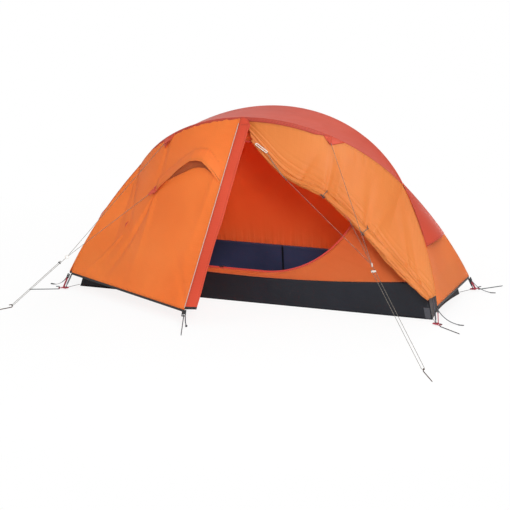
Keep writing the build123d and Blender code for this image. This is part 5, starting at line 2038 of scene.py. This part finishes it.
@dataclass
class Studio:
    """Pale floor, soft lights and the camera.

    Attributes:
        camera_at: the camera's place.
        target: the point in the middle of its picture.
        lens: focal length in millimetres on a 36 mm sensor.
        lamps: name, place, side, watts of each lamp, and whether it shows in glossy surfaces.
        lamp_target: point that the lamps face.
        floor_half: half the floor's side.
        floor_z: its height, just under the tent.
        shadow_reach: distances from the middle between which the floor's shadow fades.
        floor_white: share of the floor that shows white whatever falls on it, near the tent.
        world_light: strength of the surroundings as light.
    """

    camera_at: Point = (3.7576, -10.3877, 2.9070)
    target: Point = (-0.085, 0.0, 0.207)
    lens: float = 134.85
    lamps: tuple[tuple[str, Point, float, float, bool], ...] = (
        ("Key", (4.6, -8.4, 5.2), 3.0, 700.0, True),
        ("Fill", (-6.0, -5.0, 4.0), 4.0, 100.0, False),
        ("Top", (2.0, -2.4, 6.2), 3.0, 90.0, True),
        ("Back", (0.8, 7.5, 1.5), 4.0, 520.0, False),
    )
    lamp_target: Point = (0.0, 0.0, 0.5)
    floor_half: float = 30.0
    floor_z: float = -0.0006
    shadow_reach: tuple[float, float] = (1.3, 3.2)
    floor_white: float = 0.86
    world_light: float = 0.5

    def aimed(self, name: str, data: bpy.types.ID, place: Point, target: Point) -> Object:
        """Camera or lamp object in its place, level and facing a target."""
        obj = bpy.data.objects.new(name, data)
        obj.location = place
        obj.rotation_mode = "QUATERNION"
        obj.rotation_quaternion = (Vector(target) - Vector(place)).to_track_quat("-Z", "Y")
        bpy.context.scene.collection.objects.link(obj)
        return obj

    def camera(self) -> None:
        """Makes the camera, without depth of field."""
        data = bpy.data.cameras.new("Camera")
        data.lens = self.lens
        data.sensor_width = 36.0
        data.clip_end = 200.0
        bpy.context.scene.camera = self.aimed("Camera", data, self.camera_at, self.target)

    def lamp(self, name: str, place: Point, size: float, power: float, mirrored: bool) -> None:
        """Adds a square lamp that faces the tent's middle.

        Args:
            name: object name.
            place: of its middle.
            size: of its side.
            power: in watts.
            mirrored: shows in glossy surfaces.
        """
        data = bpy.data.lights.new(name, "AREA")
        data.size = size
        data.energy = power
        self.aimed(name, data, place, self.lamp_target).visible_glossy = mirrored

    def floor(self) -> None:
        """Pale floor that shows almost white and keeps a soft shadow."""
        edge = np.linspace(-self.floor_half, self.floor_half, 3)
        grid = np.concatenate([plane(edge, edge), np.full((3, 3, 1), self.floor_z)], axis=-1)
        obj = grid_object("floor", grid, seams=False)
        made = bpy.data.materials.new("Pale studio floor")
        made.use_nodes = True
        tree = made.node_tree
        tree.nodes.clear()
        matt = add(tree, "BsdfDiffuse", {"Color": linear("#f2f2f2")})
        white = add(tree, "Emission", {"Color": (1, 1, 1, 1), "Strength": 1.0})
        seen = add(tree, "LightPath").outputs["Is Camera Ray"]
        place = add(tree, "TexCoord").outputs["Object"]
        away = add(tree, "VectorMath", {0: place}, operation="LENGTH").outputs["Value"]
        near, far = self.shadow_reach
        fade = {"Value": away, "From Min": near, "From Max": far, "To Min": self.floor_white, "To Max": 1.0}
        glow = add(tree, "MapRange", fade).outputs["Result"]
        share = add(tree, "Math", {0: seen, 1: glow}, operation="MULTIPLY").outputs[0]
        mixed = add(tree, "MixShader", {0: share, 1: matt.outputs[0], 2: white.outputs[0]})
        out = add(tree, "OutputMaterial")
        tree.links.new(mixed.outputs[0], out.inputs["Surface"])
        obj.data.materials.append(made)

    def world(self) -> None:
        """Even white surroundings, white to the camera and softer as light."""
        world = bpy.data.worlds.new("Studio")
        bpy.context.scene.world = world
        world.use_nodes = True
        tree = world.node_tree
        tree.nodes.clear()
        path = add(tree, "LightPath").outputs
        shown = add(tree, "Math", {0: path["Is Camera Ray"], 1: path["Is Glossy Ray"]}, operation="MAXIMUM")
        levels = {"Value": shown.outputs[0], "To Min": self.world_light, "To Max": 1.0}
        strength = add(tree, "MapRange", levels)
        sky = add(tree, "Background", {"Color": (1, 1, 1, 1), "Strength": strength.outputs["Result"]})
        out = add(tree, "OutputWorld")
        tree.links.new(sky.outputs[0], out.inputs["Surface"])

    def build(self) -> None:
        """Makes the whole studio."""
        bpy.context.scene.view_settings.view_transform = "Standard"
        self.camera()
        self.floor()
        self.world()
        for lamp in self.lamps:
            self.lamp(*lamp)


GUY_LINES = (
    GuyLine(
        "left",
        ((-0.590249, -0.176946, 0.878397), (-0.625201, -0.338207, 0.601397)),
        (-1.008, -0.655, 0.267),
        (-1.248, -0.886, 0.0155),
    ),
    GuyLine(
        "right",
        ((0.452705, -0.210898, 0.954718), (0.615105, -0.363022, 0.549328)),
        RIGHT_RING,
        (1.307, -1.275, 0.0155),
    ),
)


def main() -> None:
    """Builds the tent piece by piece."""
    logging.basicConfig(level=logging.INFO, format="%(message)s")
    Studio().build()
    for line in GUY_LINES:
        line.build()
    CornerCords().build()
    DoorTies().build()
    TailEnds().build()
    PorchTail().build()
    poles = ArchFrame()
    FlyCover(poles).build()
    InnerTent(poles).build()
    Trim().build()


if __name__ == "__main__":
    main()
